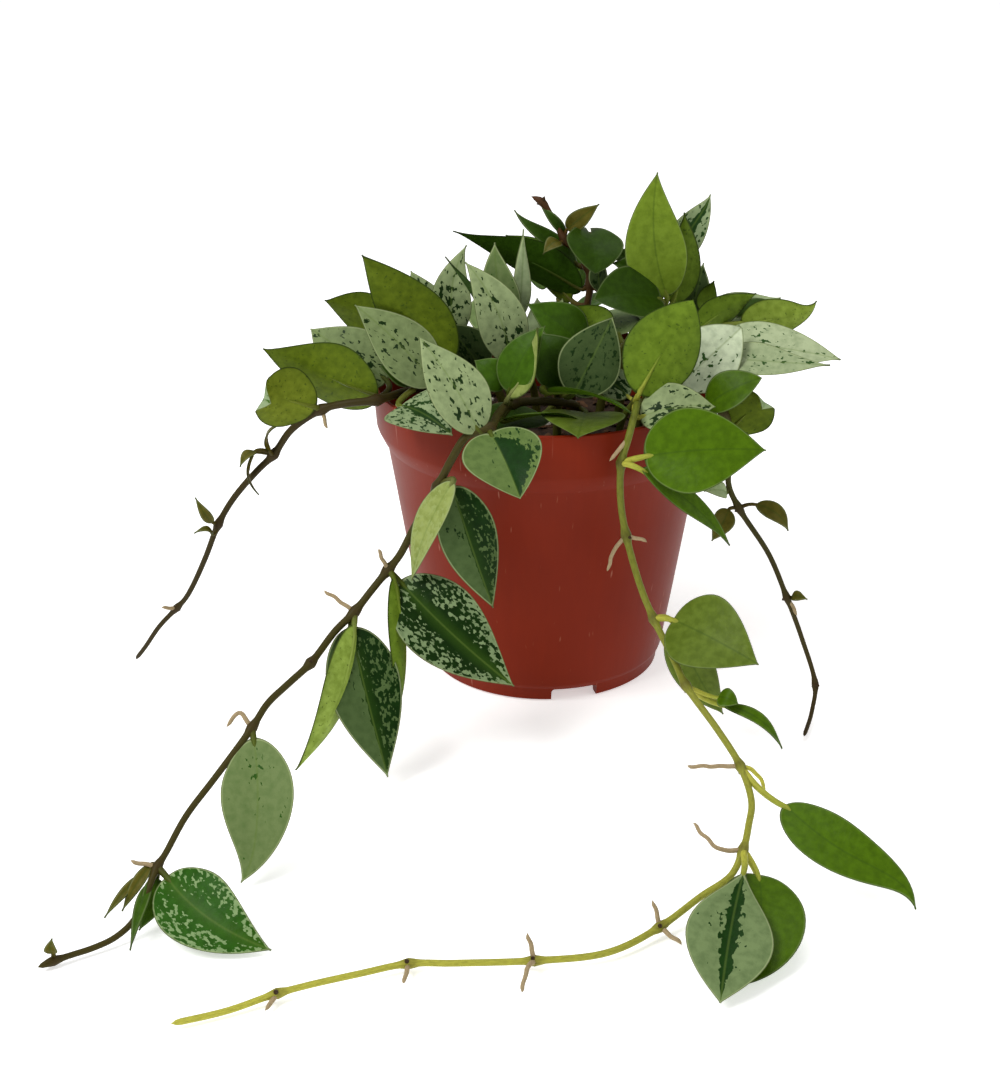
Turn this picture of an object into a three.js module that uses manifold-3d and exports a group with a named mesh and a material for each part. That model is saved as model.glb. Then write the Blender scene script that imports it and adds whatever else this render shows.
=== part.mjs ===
// Potted trailing hoya. Millimetres, +Z up, the viewer's side is -Y, the pot's axis starts at x = y = 0.
import * as THREE from "three";
import { mergeVertices } from "three/addons/utils/BufferGeometryUtils.js";
import Module from "manifold-3d";

const wasm = await Module();
wasm.setup();

// Pot: a 12 cm grower's pot, with a rim band, a raised floor and four feet between four notches.
const LIP_RADIUS = 62;
const BAND_LOW_RADIUS = 61.2;
const CREASE_RADIUS = 57.7;
const BASE_RADIUS = 44.5;
const FOOT_RADIUS = 43;
const FOOT_INNER_RADIUS = 38;
const POT_HEIGHT = 109;
const BAND_LOW_Z = 94;
const CREASE_Z = 88;
const FOOT_HEIGHT = 5;
const FLOOR_THICK = 2;
const WALL = 1.4;
const POT_SIDES = 40;
const NOTCH_COUNT = 4;
const NOTCH_WIDE = 17;
const NOTCH_DEEP = 20;
const NOTCH_HEIGHT = 4.5;
const NOTCH_TURN = -76;
const DRAIN_COUNT = 6;
const DRAIN_RADIUS = 3.5;
const DRAIN_CIRCLE = 30;
const OVERCUT = 1;

// Soil: fills the pot to 19 mm under the lip, slightly mounded.
const SOIL_Z = 90;
const SOIL_MOUND = 2;
const CLEAR = 0.3;
const STEM_ROOT_Z = 72;
const STEM_SIDES = 5;
const STEM_STEP = 15;
const KNOT_SWELL = 1.45;

// Leaf blade: stations along the midrib, and half thickness at the midrib and at the margin.
const LARGE_STATIONS = [0.07, 0.22, 0.42, 0.65, 0.86, 1];
const SMALL_STATIONS = [0.15, 0.42, 0.74, 1];
const SMALL_LEAF = 19;
const MIDDLE_STATIONS = [0.08, 0.27, 0.54, 0.83, 1];
const MIDDLE_LEAF = 37;
const SHORT_PETIOLE = 9;
const RIB_HALF = 0.5;
const MARGIN_HALF = 0.38;
const TIP_HALF_WIDTH = 0.5;
const PETIOLE_RADIUS = 1;
const SMALL_PETIOLE_RADIUS = 0.75;
const ROOT_RADIUS = 0.55;
const MERGE_TOLERANCE = 0.06;

// Colours by eye: terracotta plastic, dark bark mix, and each stem's prevailing leaf colour.
const POT_COLOUR = 0x7a2f22;
const SOIL_COLOUR = 0x33251b;
const OLIVE = 0x66733a;
const DEEP_GREEN = 0x2f4f22;
const FRESH_GREEN = 0x4f7d23;
const SILVER_GREEN = 0x94a280;
const POT_ROUGHNESS = 0.45;
const SOIL_ROUGHNESS = 0.95;
const LEAF_ROUGHNESS = 0.5;

const vec = (p) => new THREE.Vector3(...p);
const rad = THREE.MathUtils.degToRad;

// A direction from its turn about Z and its rise above level, in degrees.
function direction([turn, rise]) {
  const level = Math.cos(rad(rise));
  return new THREE.Vector3(level * Math.cos(rad(turn)), level * Math.sin(rad(turn)), Math.sin(rad(rise)));
}

function squareTo(v, axis) {
  return v.clone().addScaledVector(axis, -v.dot(axis)).normalize();
}

function solidFrom(points, triangles) {
  const mesh = new wasm.Mesh({
    numProp: 3,
    vertProperties: new Float32Array(points.flatMap((p) => [p.x, p.y, p.z])),
    triVerts: new Uint32Array(triangles.flat()),
  });
  return new wasm.Manifold(mesh);
}

// Skins rings of equal size. flat marks the sides whose diagonal is turned to match the face above them.
function skin(rings, caps, flat = []) {
  const n = rings[0].length;
  const triangles = [];
  for (let i = 0; i + 1 < rings.length; i++) {
    for (let k = 0; k < n; k++) {
      const a = i * n + k;
      const b = i * n + ((k + 1) % n);
      const c = a + n;
      const d = b + n;
      if (flat.includes(k)) triangles.push([a, b, c], [b, d, c]);
      else triangles.push([a, b, d], [a, d, c]);
    }
  }
  const last = (rings.length - 1) * n;
  for (const [a, b, c] of caps) {
    triangles.push([a, c, b]);
    triangles.push([last + a, last + b, last + c]);
  }
  return solidFrom(rings.flat(), triangles);
}

// A tube of few sides along a list of points, each with its radius.
function tube(points, radii, sides) {
  const rings = [];
  let across = null;
  points.forEach((p, i) => {
    const before = points[Math.max(i - 1, 0)];
    const after = points[Math.min(i + 1, points.length - 1)];
    const along = after.clone().sub(before).normalize();
    if (!across) across = Math.abs(along.z) > 0.9 ? new THREE.Vector3(1, 0, 0) : new THREE.Vector3(0, 0, 1);
    across = squareTo(across, along);
    const third = along.clone().cross(across);
    const ring = [];
    for (let k = 0; k < sides; k++) {
      const turn = (2 * Math.PI * k) / sides;
      const offset = across.clone().multiplyScalar(Math.cos(turn)).addScaledVector(third, Math.sin(turn));
      ring.push(p.clone().addScaledVector(offset, radii[i]));
    }
    rings.push(ring);
  });
  const caps = [];
  for (let k = 1; k + 1 < sides; k++) caps.push([0, k, k + 1]);
  return skin(rings, caps);
}

// Share of the full width at a share of the blade's length. neck narrows its base, drawn narrows its tip.
function outline(t, neck, drawn) {
  const shape = (at) => Math.pow(at, neck) * Math.pow(1 - at, drawn);
  return shape(t) / shape(neck / (neck + drawn));
}

// One section of a leaf: a thin V that opens from the midrib, or a six-sided petiole.
function leafRing(centre, up, along, halfWidth, fold, rib, margin) {
  const side = along.clone().cross(up);
  const out = halfWidth * Math.cos(fold);
  const lift = halfWidth * Math.sin(fold);
  const at = (s, u) => centre.clone().addScaledVector(side, s).addScaledVector(up, u);
  return [
    at(-out, lift + margin),
    at(0, rib),
    at(out, lift + margin),
    at(out, lift - margin),
    at(0, -rib),
    at(-out, lift - margin),
  ];
}

// A petiole and its blade in one skin, from a point on the stem's own centre line. The midrib arches towards
// the face, sways sideways at its middle, and does so near its tip by tail.
function leaf(start, row) {
  const { base, tip, wide, face, arch = 2.5, fold = 12, sway = 0, tail = 0, neck = 0.6, drawn = 1.15 } = row;
  const from = vec(base);
  const span = vec(tip).sub(from);
  const long = span.length();
  const up = squareTo(direction(face), span.clone().normalize());
  const side = span.clone().normalize().cross(up);
  const small = long < SMALL_LEAF;
  const stalk = small ? SMALL_PETIOLE_RADIUS : PETIOLE_RADIUS;
  const midrib = (t) =>
    from
      .clone()
      .addScaledVector(span, t)
      .addScaledVector(up, arch * 4 * t * (1 - t))
      .addScaledVector(side, (sway * 4 + tail * 12.2 * t ** 3) * t * (1 - t));
  const heading = (t) => midrib(Math.min(t + 0.05, 1)).sub(midrib(Math.max(t - 0.05, 0))).normalize();
  const first = heading(0);
  const bend = from.clone().addScaledVector(first, -0.5 * start.distanceTo(from));
  const petiole = new THREE.QuadraticBezierCurve3(start, bend, from);
  const rings = [];
  for (const t of start.distanceTo(from) < SHORT_PETIOLE ? [0, 1] : [0, 0.5, 1]) {
    const along = petiole.getTangent(t);
    const above = squareTo(up, along);
    rings.push(leafRing(petiole.getPoint(t), above, along, stalk * 0.87, 0, stalk, stalk / 2));
  }
  for (const t of small ? SMALL_STATIONS : long < MIDDLE_LEAF ? MIDDLE_STATIONS : LARGE_STATIONS) {
    const along = heading(t);
    const half = Math.max((outline(t, neck, drawn) * wide) / 2, TIP_HALF_WIDTH);
    rings.push(leafRing(midrib(t), squareTo(up, along), along, half, rad(fold), RIB_HALF, MARGIN_HALF));
  }
  const caps = [
    [0, 1, 4],
    [0, 4, 5],
    [1, 2, 3],
    [1, 3, 4],
  ];
  return skin(rings, caps, [3, 4]);
}

// A leafy stem: the stem with its swollen knots, its leaves and its aerial roots, fused into one solid.
function leafyStem({ path, knots, radius, leaves, roots = [] }) {
  const way = path.map(vec);
  const curve = new THREE.CatmullRomCurve3(way, false, "centripetal");
  const points = [];
  const radii = [];
  const [thick, thin] = radius;
  way.forEach((p, i) => {
    const width = thick + ((thin - thick) * i) / (way.length - 1);
    points.push(p);
    radii.push(knots.includes(i) ? width * KNOT_SWELL : width);
    if (i === 0 || i + 1 === way.length) return;
    const steps = Math.ceil(p.distanceTo(way[i + 1]) / STEM_STEP);
    for (let s = 1; s < steps; s++) {
      points.push(curve.getPoint((i + s / steps) / (way.length - 1)));
      radii.push(width);
    }
  });
  const solids = [tube(points, radii, STEM_SIDES)];
  for (const row of leaves) solids.push(leaf(way[row.at], row));
  for (const { at, to, over } of roots) {
    const line = [way[at], ...(over ? [vec(over)] : []), vec(to)];
    solids.push(tube(line, line.map(() => ROOT_RADIUS), 4));
  }
  return wasm.Manifold.union(solids).simplify(MERGE_TOLERANCE);
}

// A closed three.js geometry as a solid, with its seam and poles merged.
function solidOf(geometry) {
  geometry.deleteAttribute("normal");
  geometry.deleteAttribute("uv");
  const merged = mergeVertices(geometry, 1e-3);
  const corners = merged.index.array;
  const kept = [];
  for (let i = 0; i < corners.length; i += 3) {
    const [a, b, c] = corners.slice(i, i + 3);
    if (a !== b && b !== c && c !== a) kept.push(a, b, c);
  }
  const mesh = new wasm.Mesh({
    numProp: 3,
    vertProperties: merged.getAttribute("position").array,
    triVerts: new Uint32Array(kept),
  });
  return new wasm.Manifold(mesh);
}

function lathe(profile, sides) {
  const points = profile.map(([r, z]) => new THREE.Vector2(r, z));
  return solidOf(new THREE.LatheGeometry(points, sides).rotateX(Math.PI / 2));
}

function rod(radius, low, high, x, y, sides) {
  const upright = new THREE.CylinderGeometry(radius, radius, high - low, sides).rotateX(Math.PI / 2);
  return solidOf(upright.translate(x, y, (low + high) / 2));
}

function makePot() {
  const floorTop = FOOT_HEIGHT + FLOOR_THICK;
  const shell = lathe(
    [
      [0, FOOT_HEIGHT],
      [FOOT_INNER_RADIUS, FOOT_HEIGHT],
      [FOOT_INNER_RADIUS + 0.5, 0],
      [FOOT_RADIUS - 0.6, 0],
      [FOOT_RADIUS, 0.8],
      [FOOT_RADIUS + 0.3, FOOT_HEIGHT],
      [BASE_RADIUS, FOOT_HEIGHT + 1],
      [CREASE_RADIUS, CREASE_Z],
      [BAND_LOW_RADIUS, BAND_LOW_Z],
      [LIP_RADIUS, POT_HEIGHT - 0.6],
      [LIP_RADIUS - 0.5, POT_HEIGHT],
      [LIP_RADIUS - WALL, POT_HEIGHT],
      [LIP_RADIUS - WALL, BAND_LOW_Z],
      [CREASE_RADIUS - WALL, CREASE_Z],
      [BASE_RADIUS - WALL, floorTop + 1],
      [BASE_RADIUS - WALL - 1, floorTop],
      [0, floorTop],
    ],
    POT_SIDES,
  );
  const cuts = [];
  for (let i = 0; i < NOTCH_COUNT; i++) {
    const turn = rad(NOTCH_TURN + (360 * i) / NOTCH_COUNT);
    const slot = new THREE.BoxGeometry(NOTCH_DEEP, NOTCH_WIDE, NOTCH_HEIGHT + OVERCUT);
    slot.translate(FOOT_RADIUS, 0, (NOTCH_HEIGHT - OVERCUT) / 2).rotateZ(turn);
    cuts.push(solidOf(slot));
  }
  for (let i = 0; i < DRAIN_COUNT; i++) {
    const turn = rad((360 * (i + 0.5)) / DRAIN_COUNT);
    const x = DRAIN_CIRCLE * Math.cos(turn);
    const y = DRAIN_CIRCLE * Math.sin(turn);
    cuts.push(rod(DRAIN_RADIUS, FOOT_HEIGHT - OVERCUT, floorTop + OVERCUT, x, y, 8));
  }
  return shell.subtract(wasm.Manifold.union(cuts));
}

function makeSoil(stems) {
  const floorTop = FOOT_HEIGHT + FLOOR_THICK;
  const wallAt = (z) => {
    const share = (z - floorTop - 1) / (CREASE_Z - floorTop - 1);
    return BASE_RADIUS - WALL + share * (CREASE_RADIUS - BASE_RADIUS) - CLEAR;
  };
  const body = lathe(
    [
      [0, floorTop + CLEAR],
      [BASE_RADIUS - WALL - 1 - 2 * CLEAR, floorTop + CLEAR],
      [wallAt(floorTop + 2) - 0.2, floorTop + 2],
      [wallAt(CREASE_Z - 1) - 0.1, CREASE_Z - 1],
      [48, SOIL_Z - 0.4],
      [30, SOIL_Z + 0.9],
      [0, SOIL_Z + SOIL_MOUND],
    ],
    POT_SIDES / 2,
  );
  const holes = stems.map(({ path, radius }) => {
    const [x, y] = path[0];
    return rod(radius[0] + 2 * CLEAR, STEM_ROOT_Z - CLEAR, POT_HEIGHT, x, y, 6);
  });
  return body.subtract(wasm.Manifold.union(holes));
}

// Every stem starts upright in the soil; at is the path point that a leaf or root grows from.
const stems = {
  stem_trailing_left: {
    colour: OLIVE,
    radius: [1.7, 0.8],
    path: [
      [-31, 6, STEM_ROOT_Z],
      [-31, 6, 94],
      [-38, -1, 105],
      [-48, -19, 110.5],
      [-59, -33.5, 112],
      [-70, -34.5, 111],
      [-78, -32, 108],
      [-89, -30, 100],
      [-96, -28, 90],
      [-102, -28, 84],
      [-111, -27, 73],
      [-117, -27, 63],
      [-123, -26, 49],
      [-131, -24, 33],
      [-135, -23, 28],
      [-142, -22, 20],
      [-148, -20, 11],
      [-153, -17, 4],
    ],
    knots: [4, 6, 8, 11, 14],
    leaves: [
      { at: 4, base: [-60, -30, 113], tip: [-98, -25, 128], wide: 27, face: [90, 20], arch: 1, sway: 1.5 },
      { at: 4, base: [-57, -22, 116], tip: [-83, -9, 130], wide: 23, face: [-90, 45], sway: -1 },
      { at: 6, base: [-81, -34, 110], tip: [-96, -46, 117], wide: 23, face: [90, -5], drawn: 0.85 },
      { at: 8, base: [-97, -31, 93], tip: [-93, -31, 102], wide: 7, face: [180, 20] },
      { at: 8, base: [-102, -31, 92], tip: [-107, -35, 88], wide: 4, face: [-90, 60] },
      { at: 8, base: [-103, -31, 91], tip: [-101, -34, 77], wide: 6, face: [180, 10] },
      { at: 11, base: [-119, -29.4, 65], tip: [-124, -31, 75], wide: 4, face: [-90, 20] },
      { at: 11, base: [-119, -30, 60.6], tip: [-125, -33, 62], wide: 3, face: [-90, 60] },
    ],
    roots: [
      { at: 6, to: [-76, -35, 102] },
      { at: 14, to: [-140, -27, 30] },
    ],
  },
  stem_trailing_front_left: {
    colour: DEEP_GREEN,
    radius: [1.6, 0.9],
    path: [
      [14, -20, STEM_ROOT_Z],
      [14, -20, 94],
      [11, -26, 106],
      [3, -36, 112],
      [-12, -40, 113],
      [-17, -54, 114],
      [-20, -65, 113],
      [-27, -69, 112],
      [-32, -71, 105],
      [-37, -71, 95],
      [-45, -70, 80],
      [-50, -73, 71],
      [-54, -74, 66],
      [-59, -78, 61],
      [-65, -83, 55],
      [-71, -89, 51],
      [-78, -105, 47],
      [-84, -115, 45],
      [-90, -125, 43],
      [-94, -135, 40],
      [-105, -149, 29],
      [-112, -160, 23],
      [-117, -171, 17],
      [-119, -175, 15],
      [-124, -189, 6],
      [-129, -194, 3],
      [-135, -198, 2],
      [-140, -201, 2],
      [-145, -204, 2],
      [-149, -207, 2],
    ],
    knots: [4, 6, 9, 12, 14, 16, 19, 23, 28],
    leaves: [
      { at: 2, base: [13, -40, 109], tip: [9, -72, 112], wide: 29, face: [-90, 86], arch: 1 },
      { at: 4, base: [-15, -39, 119], tip: [-25, -36, 127], wide: 12, face: [-90, 40] },
      { at: 4, base: [-13, -43, 119], tip: [-1, -39, 140], wide: 17, face: [-130, 20] },
      { at: 4, base: [-13, -47, 118], tip: [-4, -44, 141], wide: 13, face: [20, 10] },
      { at: 4, base: [-14, -49, 110], tip: [12, -52, 110], wide: 15, face: [90, 68] },
      { at: 6, base: [-24, -68, 114], tip: [-43, -54, 141], wide: 22, face: [-60, 30] },
      { at: 6, base: [-19, -70, 112], tip: [-10, -92, 99], wide: 27, face: [-90, 50], drawn: 0.95 },
      { at: 9, base: [-32, -76, 98], tip: [-46, -78, 64], wide: 13, face: [-140, 5] },
      { at: 9, base: [-32, -74, 95], tip: [-19, -76, 53], wide: 20, face: [-80, 20], sway: 0.5 },
      { at: 12, base: [-52, -77, 64], tip: [-52, -96, 19], wide: 11, face: [150, -5], arch: -3 },
      { at: 12, base: [-49, -75, 61], tip: [-12, -91, 31], wide: 28, face: [-90, 40], sway: 1.5 },
      { at: 14, base: [-65, -87, 51], tip: [-84, -110, 10], wide: 16, face: [145, -5], arch: -5 },
      { at: 14, base: [-66, -86, 49], tip: [-54, -106, 5], wide: 25, face: [-80, 30], sway: 0.5 },
      {
        at: 19, base: [-93, -139, 37], tip: [-96, -164, 2],
        wide: 23, face: [-90, 30], sway: -3, tail: -1, neck: 0.7,
      },
      { at: 23, base: [-115, -179, 13], tip: [-83, -199, 2], wide: 23, face: [-90, 48], sway: 3 },
      { at: 23, base: [-119, -176, 11], tip: [-123, -189, 2], wide: 8, face: [-60, 30] },
      { at: 23, base: [-121, -174, 15], tip: [-129, -182, 4], wide: 4, face: [-90, 40] },
      { at: 23, base: [-121, -177, 11], tip: [-124, -199, 2], wide: 4, face: [-90, 40] },
      { at: 23, base: [-124, -175, 12], tip: [-134, -184, 3], wide: 3, face: [-90, 40] },
      { at: 28, base: [-145, -204, 5], tip: [-145, -203, 9], wide: 4, face: [-90, 0] },
    ],
    roots: [
      { at: 12, to: [-57, -77, 75] },
      { at: 14, to: [-75, -81, 62] },
      { at: 19, over: [-98, -133, 44], to: [-102, -135, 40] },
      { at: 23, to: [-127, -175, 17] },
    ],
  },
  stem_trailing_front_right: {
    colour: FRESH_GREEN,
    radius: [1.6, 1],
    path: [
      [24, -34, STEM_ROOT_Z],
      [24, -34, 94],
      [26, -36, 106],
      [30, -42, 114],
      [28, -58, 114],
      [26, -64, 109],
      [24, -63, 100],
      [24, -64, 87],
      [26, -66, 75],
      [31, -71, 58],
      [35, -79, 50],
      [41, -94, 42],
      [44, -104, 38],
      [53, -119, 30],
      [59, -134, 25],
      [61, -149, 21],
      [59, -159, 19],
      [56, -170, 17],
      [52, -176, 12],
      [43, -181, 8],
      [30, -191, 4],
      [14, -202, 3],
      [-7, -206, 3],
      [-30, -207, 3],
      [-43, -207, 3],
      [-57, -212, 3],
      [-79, -221, 3],
      [-92, -227, 2],
      [-107, -233, 2],
    ],
    knots: [3, 6, 8, 10, 12, 14, 17, 20, 22, 24, 26],
    leaves: [
      {
        at: 3, base: [31, -47, 120], tip: [48, -42, 150],
        wide: 26, face: [90, -10], arch: 1.5, drawn: 0.9,
      },
      { at: 3, base: [32, -51, 112], tip: [56, -50, 115], wide: 20, face: [-90, 55] },
      { at: 3, base: [27, -38, 115], tip: [15, -27, 120], wide: 12, face: [-90, 40] },
      { at: 6, base: [33, -67, 104], tip: [71, -70, 107], wide: 29, face: [-90, 24], sway: -1 },
      { at: 6, base: [31, -68, 99], tip: [61, -66, 71], wide: 12, face: [-60, 60] },
      { at: 10, base: [42, -85, 52], tip: [67, -107, 47], wide: 27, face: [-90, 35] },
      { at: 10, base: [43, -75, 45], tip: [60, -78, 13], wide: 17, face: [-120, 20] },
      { at: 12, base: [55, -105, 34], tip: [61, -108, 33], wide: 7, face: [-90, 40] },
      { at: 12, base: [57, -103, 30], tip: [76, -109, 17], wide: 5, face: [-90, 60], arch: 6 },
      { at: 14, base: [71, -154, 22], tip: [107, -181, 3], wide: 18, face: [-100, 60], sway: 2, tail: -4 },
      {
        at: 17, base: [55, -181, 16], tip: [44, -226, 3],
        wide: 26, face: [-80, 60], sway: 1, neck: 1.5, drawn: 1.1,
      },
      { at: 17, base: [60, -178, 12], tip: [48, -217, 2], wide: 27, face: [-80, 60], sway: -3, drawn: 0.8 },
    ],
    roots: [
      { at: 5, to: [20, -66, 102] },
      { at: 8, over: [22, -67, 70], to: [20, -66, 62] },
      { at: 8, to: [33, -69, 74] },
      { at: 14, over: [51, -134, 25], to: [42, -134, 25] },
      { at: 17, over: [49, -171, 18], to: [41, -166, 24] },
      { at: 20, to: [36, -197, 2] },
      { at: 20, to: [28, -187, 11] },
      { at: 22, to: [-9, -205, 12] },
      { at: 22, over: [-9, -212, 5], to: [-11, -220, 2] },
      { at: 24, to: [-44, -215, 2] },
      { at: 26, to: [-82, -227, 1.5] },
    ],
  },
  stem_trailing_right: {
    colour: OLIVE,
    radius: [1.6, 0.8],
    path: [
      [36, -20, STEM_ROOT_Z],
      [36, -20, 94],
      [41, -25, 106],
      [51, -36, 112.5],
      [60, -39, 109],
      [64, -38, 98],
      [63, -39, 83],
      [67, -40, 74],
      [78, -41, 57],
      [85, -43, 41],
      [91, -45, 26],
      [96, -50, 10],
      [94, -58, 4],
      [89, -74, 2],
    ],
    knots: [4, 7, 9, 11],
    leaves: [
      { at: 4, base: [63, -39, 103], tip: [73, -46, 115], wide: 19, face: [90, 0], drawn: 0.9 },
      { at: 3, base: [55, -40, 112], tip: [72, -44, 123], wide: 15, face: [-90, 50], drawn: 0.9 },
      { at: 7, base: [63, -42, 74], tip: [57, -48, 65], wide: 8, face: [-90, 20] },
      { at: 7, base: [73, -42, 76], tip: [84, -44, 67], wide: 7, face: [-60, 20], sway: -1 },
      { at: 6, base: [62, -41, 80], tip: [54, -44, 82], wide: 6, face: [-90, 40] },
      { at: 9, base: [87, -43, 41], tip: [92, -45, 41], wide: 4, face: [-90, 40] },
    ],
    roots: [{ at: 9, to: [89, -45, 35] }],
  },
  stem_upright: {
    colour: DEEP_GREEN,
    radius: [1.8, 0.9],
    path: [
      [10, 14, STEM_ROOT_Z],
      [10, 14, 94],
      [12, 11, 114],
      [15, 8, 133],
      [16, 9, 141],
      [15, 10, 147],
      [10, 12, 153],
      [7, 12, 156],
      [3, 14, 163],
      [-1, 15, 169],
      [-5, 16, 171],
    ],
    knots: [4, 5, 7, 9],
    leaves: [
      { at: 4, base: [12, 10, 139], tip: [-33, 14, 159], wide: 21, face: [90, 35], drawn: 1.5 },
      { at: 5, base: [11, 14, 147], tip: [-11, 20, 165], wide: 8, face: [-90, 60], sway: -1.5, tail: -1 },
      { at: 6, base: [16, 9, 159], tip: [17, -7, 149], wide: 21, face: [-70, 60], drawn: 0.8 },
      { at: 7, base: [7, 14, 158], tip: [-2, 16, 168], wide: 4, face: [-90, 20] },
      { at: 7, base: [5, 9, 156], tip: [-1, 4, 153], wide: 6, face: [-90, 50] },
      { at: 7, base: [8, 13, 160], tip: [19, 12, 169], wide: 7, face: [-90, 20] },
      { at: 4, base: [20, 3, 140], tip: [20, 3, 155], wide: 8, face: [-120, 10] },
      { at: 3, base: [9, 14, 134], tip: [-9, 20, 145], wide: 15, face: [90, 35] },
    ],
  },
  stem_crown_left: {
    colour: OLIVE,
    radius: [1.7, 1.3],
    path: [
      [-24, -14, STEM_ROOT_Z],
      [-24, -14, 94],
      [-28, -16, 106],
      [-34, -19, 114],
      [-44, -29, 116],
    ],
    knots: [3, 4],
    leaves: [
      { at: 3, base: [-35, -23, 122], tip: [-63, -26, 161], wide: 24, face: [90, 10] },
      { at: 3, base: [-40, -27, 117], tip: [-66, -24, 143], wide: 22, face: [-90, 50] },
      { at: 4, base: [-47, -29, 117], tip: [-58, -27, 122], wide: 10, face: [-90, 50] },
      { at: 4, base: [-50, -43, 113], tip: [-32, -66, 111], wide: 23, face: [-90, 58] },
    ],
  },
  stem_crown_left_rear: {
    colour: DEEP_GREEN,
    radius: [1.7, 1.2],
    path: [
      [-14, -4, STEM_ROOT_Z],
      [-14, -4, 94],
      [-17, -6, 106],
      [-21, -7, 113],
      [-33, -2, 119],
      [-49, 2, 120],
    ],
    knots: [3, 4, 5],
    leaves: [
      { at: 3, base: [-17, -11, 120], tip: [-35, -13, 157], wide: 14, face: [22, 25], tail: 2 },
      { at: 3, base: [-23, -10, 116], tip: [-36, -9, 132], wide: 18, face: [-90, 30] },
      { at: 4, base: [-32, -1, 126], tip: [-28, 6, 156], wide: 15, face: [-95, 15], sway: -3, drawn: 1.3 },
      { at: 4, base: [-38, 4, 124], tip: [-48, 8, 146], wide: 16, face: [-90, 30] },
      { at: 5, base: [-57, 3, 125], tip: [-79, 6, 136], wide: 20, face: [90, 20] },
      { at: 5, base: [-55, 8, 119], tip: [-81, 30, 114], wide: 23, face: [140, 60] },
    ],
  },
  stem_crown_middle: {
    colour: SILVER_GREEN,
    radius: [1.6, 1.2],
    path: [
      [-3, 4, STEM_ROOT_Z],
      [-3, 4, 94],
      [-5, -2, 108],
      [-9, -10, 118],
      [-9, -3, 127],
    ],
    knots: [3, 4],
    leaves: [
      { at: 3, base: [-13, -22, 123], tip: [-28, -20, 157], wide: 18, face: [-80, 20], sway: 2.5 },
      { at: 4, base: [-13, -4, 131], tip: [-18, -2, 159], wide: 14, face: [-90, 20], sway: -1.5 },
      { at: 4, base: [-10, -3, 131], tip: [-8, 1, 163], wide: 11, face: [-60, 10], sway: -1, drawn: 1.3 },
      { at: 3, base: [-2, -5, 122], tip: [-3, 4, 137], wide: 10, face: [-90, 20] },
      { at: 3, base: [1, -8, 121], tip: [6, 3, 137], wide: 11, face: [-90, 20] },
    ],
  },
  stem_crown_front: {
    colour: FRESH_GREEN,
    radius: [1.7, 1.3],
    path: [
      [4, -14, STEM_ROOT_Z],
      [4, -14, 94],
      [4, -20, 108],
      [3, -30, 119],
      [11, -18, 122],
    ],
    knots: [3, 4],
    leaves: [
      { at: 3, base: [8, -36, 119], tip: [-3, -30, 135], wide: 20, face: [-100, 40] },
      { at: 2, base: [-3, -27, 104], tip: [-25, -49, 104], wide: 22, face: [-110, 70] },
      { at: 4, base: [12, -18, 127], tip: [-7, -17, 141], wide: 18, face: [-90, 50] },
      { at: 4, base: [20, -14, 127], tip: [8, -9, 138], wide: 17, face: [90, 0] },
      { at: 3, base: [9, -42, 118], tip: [22, -29, 140], wide: 22, face: [-80, 30] },
      { at: 3, base: [1, -46, 119], tip: [27, -62, 117], wide: 18, face: [90, 62] },
    ],
  },
  stem_crown_right: {
    colour: SILVER_GREEN,
    radius: [1.7, 1.2],
    path: [
      [34, -4, STEM_ROOT_Z],
      [34, -4, 94],
      [37, -10, 106],
      [43, -20, 113],
      [51, -17, 120],
    ],
    knots: [3, 4],
    leaves: [
      { at: 3, base: [46, -33, 118], tip: [67, -22, 134], wide: 23, face: [-70, 35], drawn: 0.95 },
      { at: 4, base: [60, -16, 126], tip: [101, -28, 124], wide: 23, face: [-90, 60], sway: 0.5 },
      {
        at: 4, base: [60, -23, 123], tip: [96, -37, 125],
        wide: 16, face: [-90, 60], arch: 1, sway: 1, drawn: 1.4,
      },
    ],
  },
  stem_crown_right_rear: {
    colour: OLIVE,
    radius: [1.7, 1.2],
    path: [
      [28, 14, STEM_ROOT_Z],
      [28, 14, 94],
      [34, 13, 108],
      [46, 9, 120],
      [58, 2, 127],
    ],
    knots: [3, 4],
    leaves: [
      { at: 3, base: [55, 8, 127], tip: [85, 11, 135], wide: 15, face: [-90, 50], sway: 1.5 },
      { at: 3, base: [52, 11, 127], tip: [57, 14, 147], wide: 12, face: [-90, 20] },
      {
        at: 4, base: [70, -4, 130], tip: [95, -7, 139],
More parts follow.
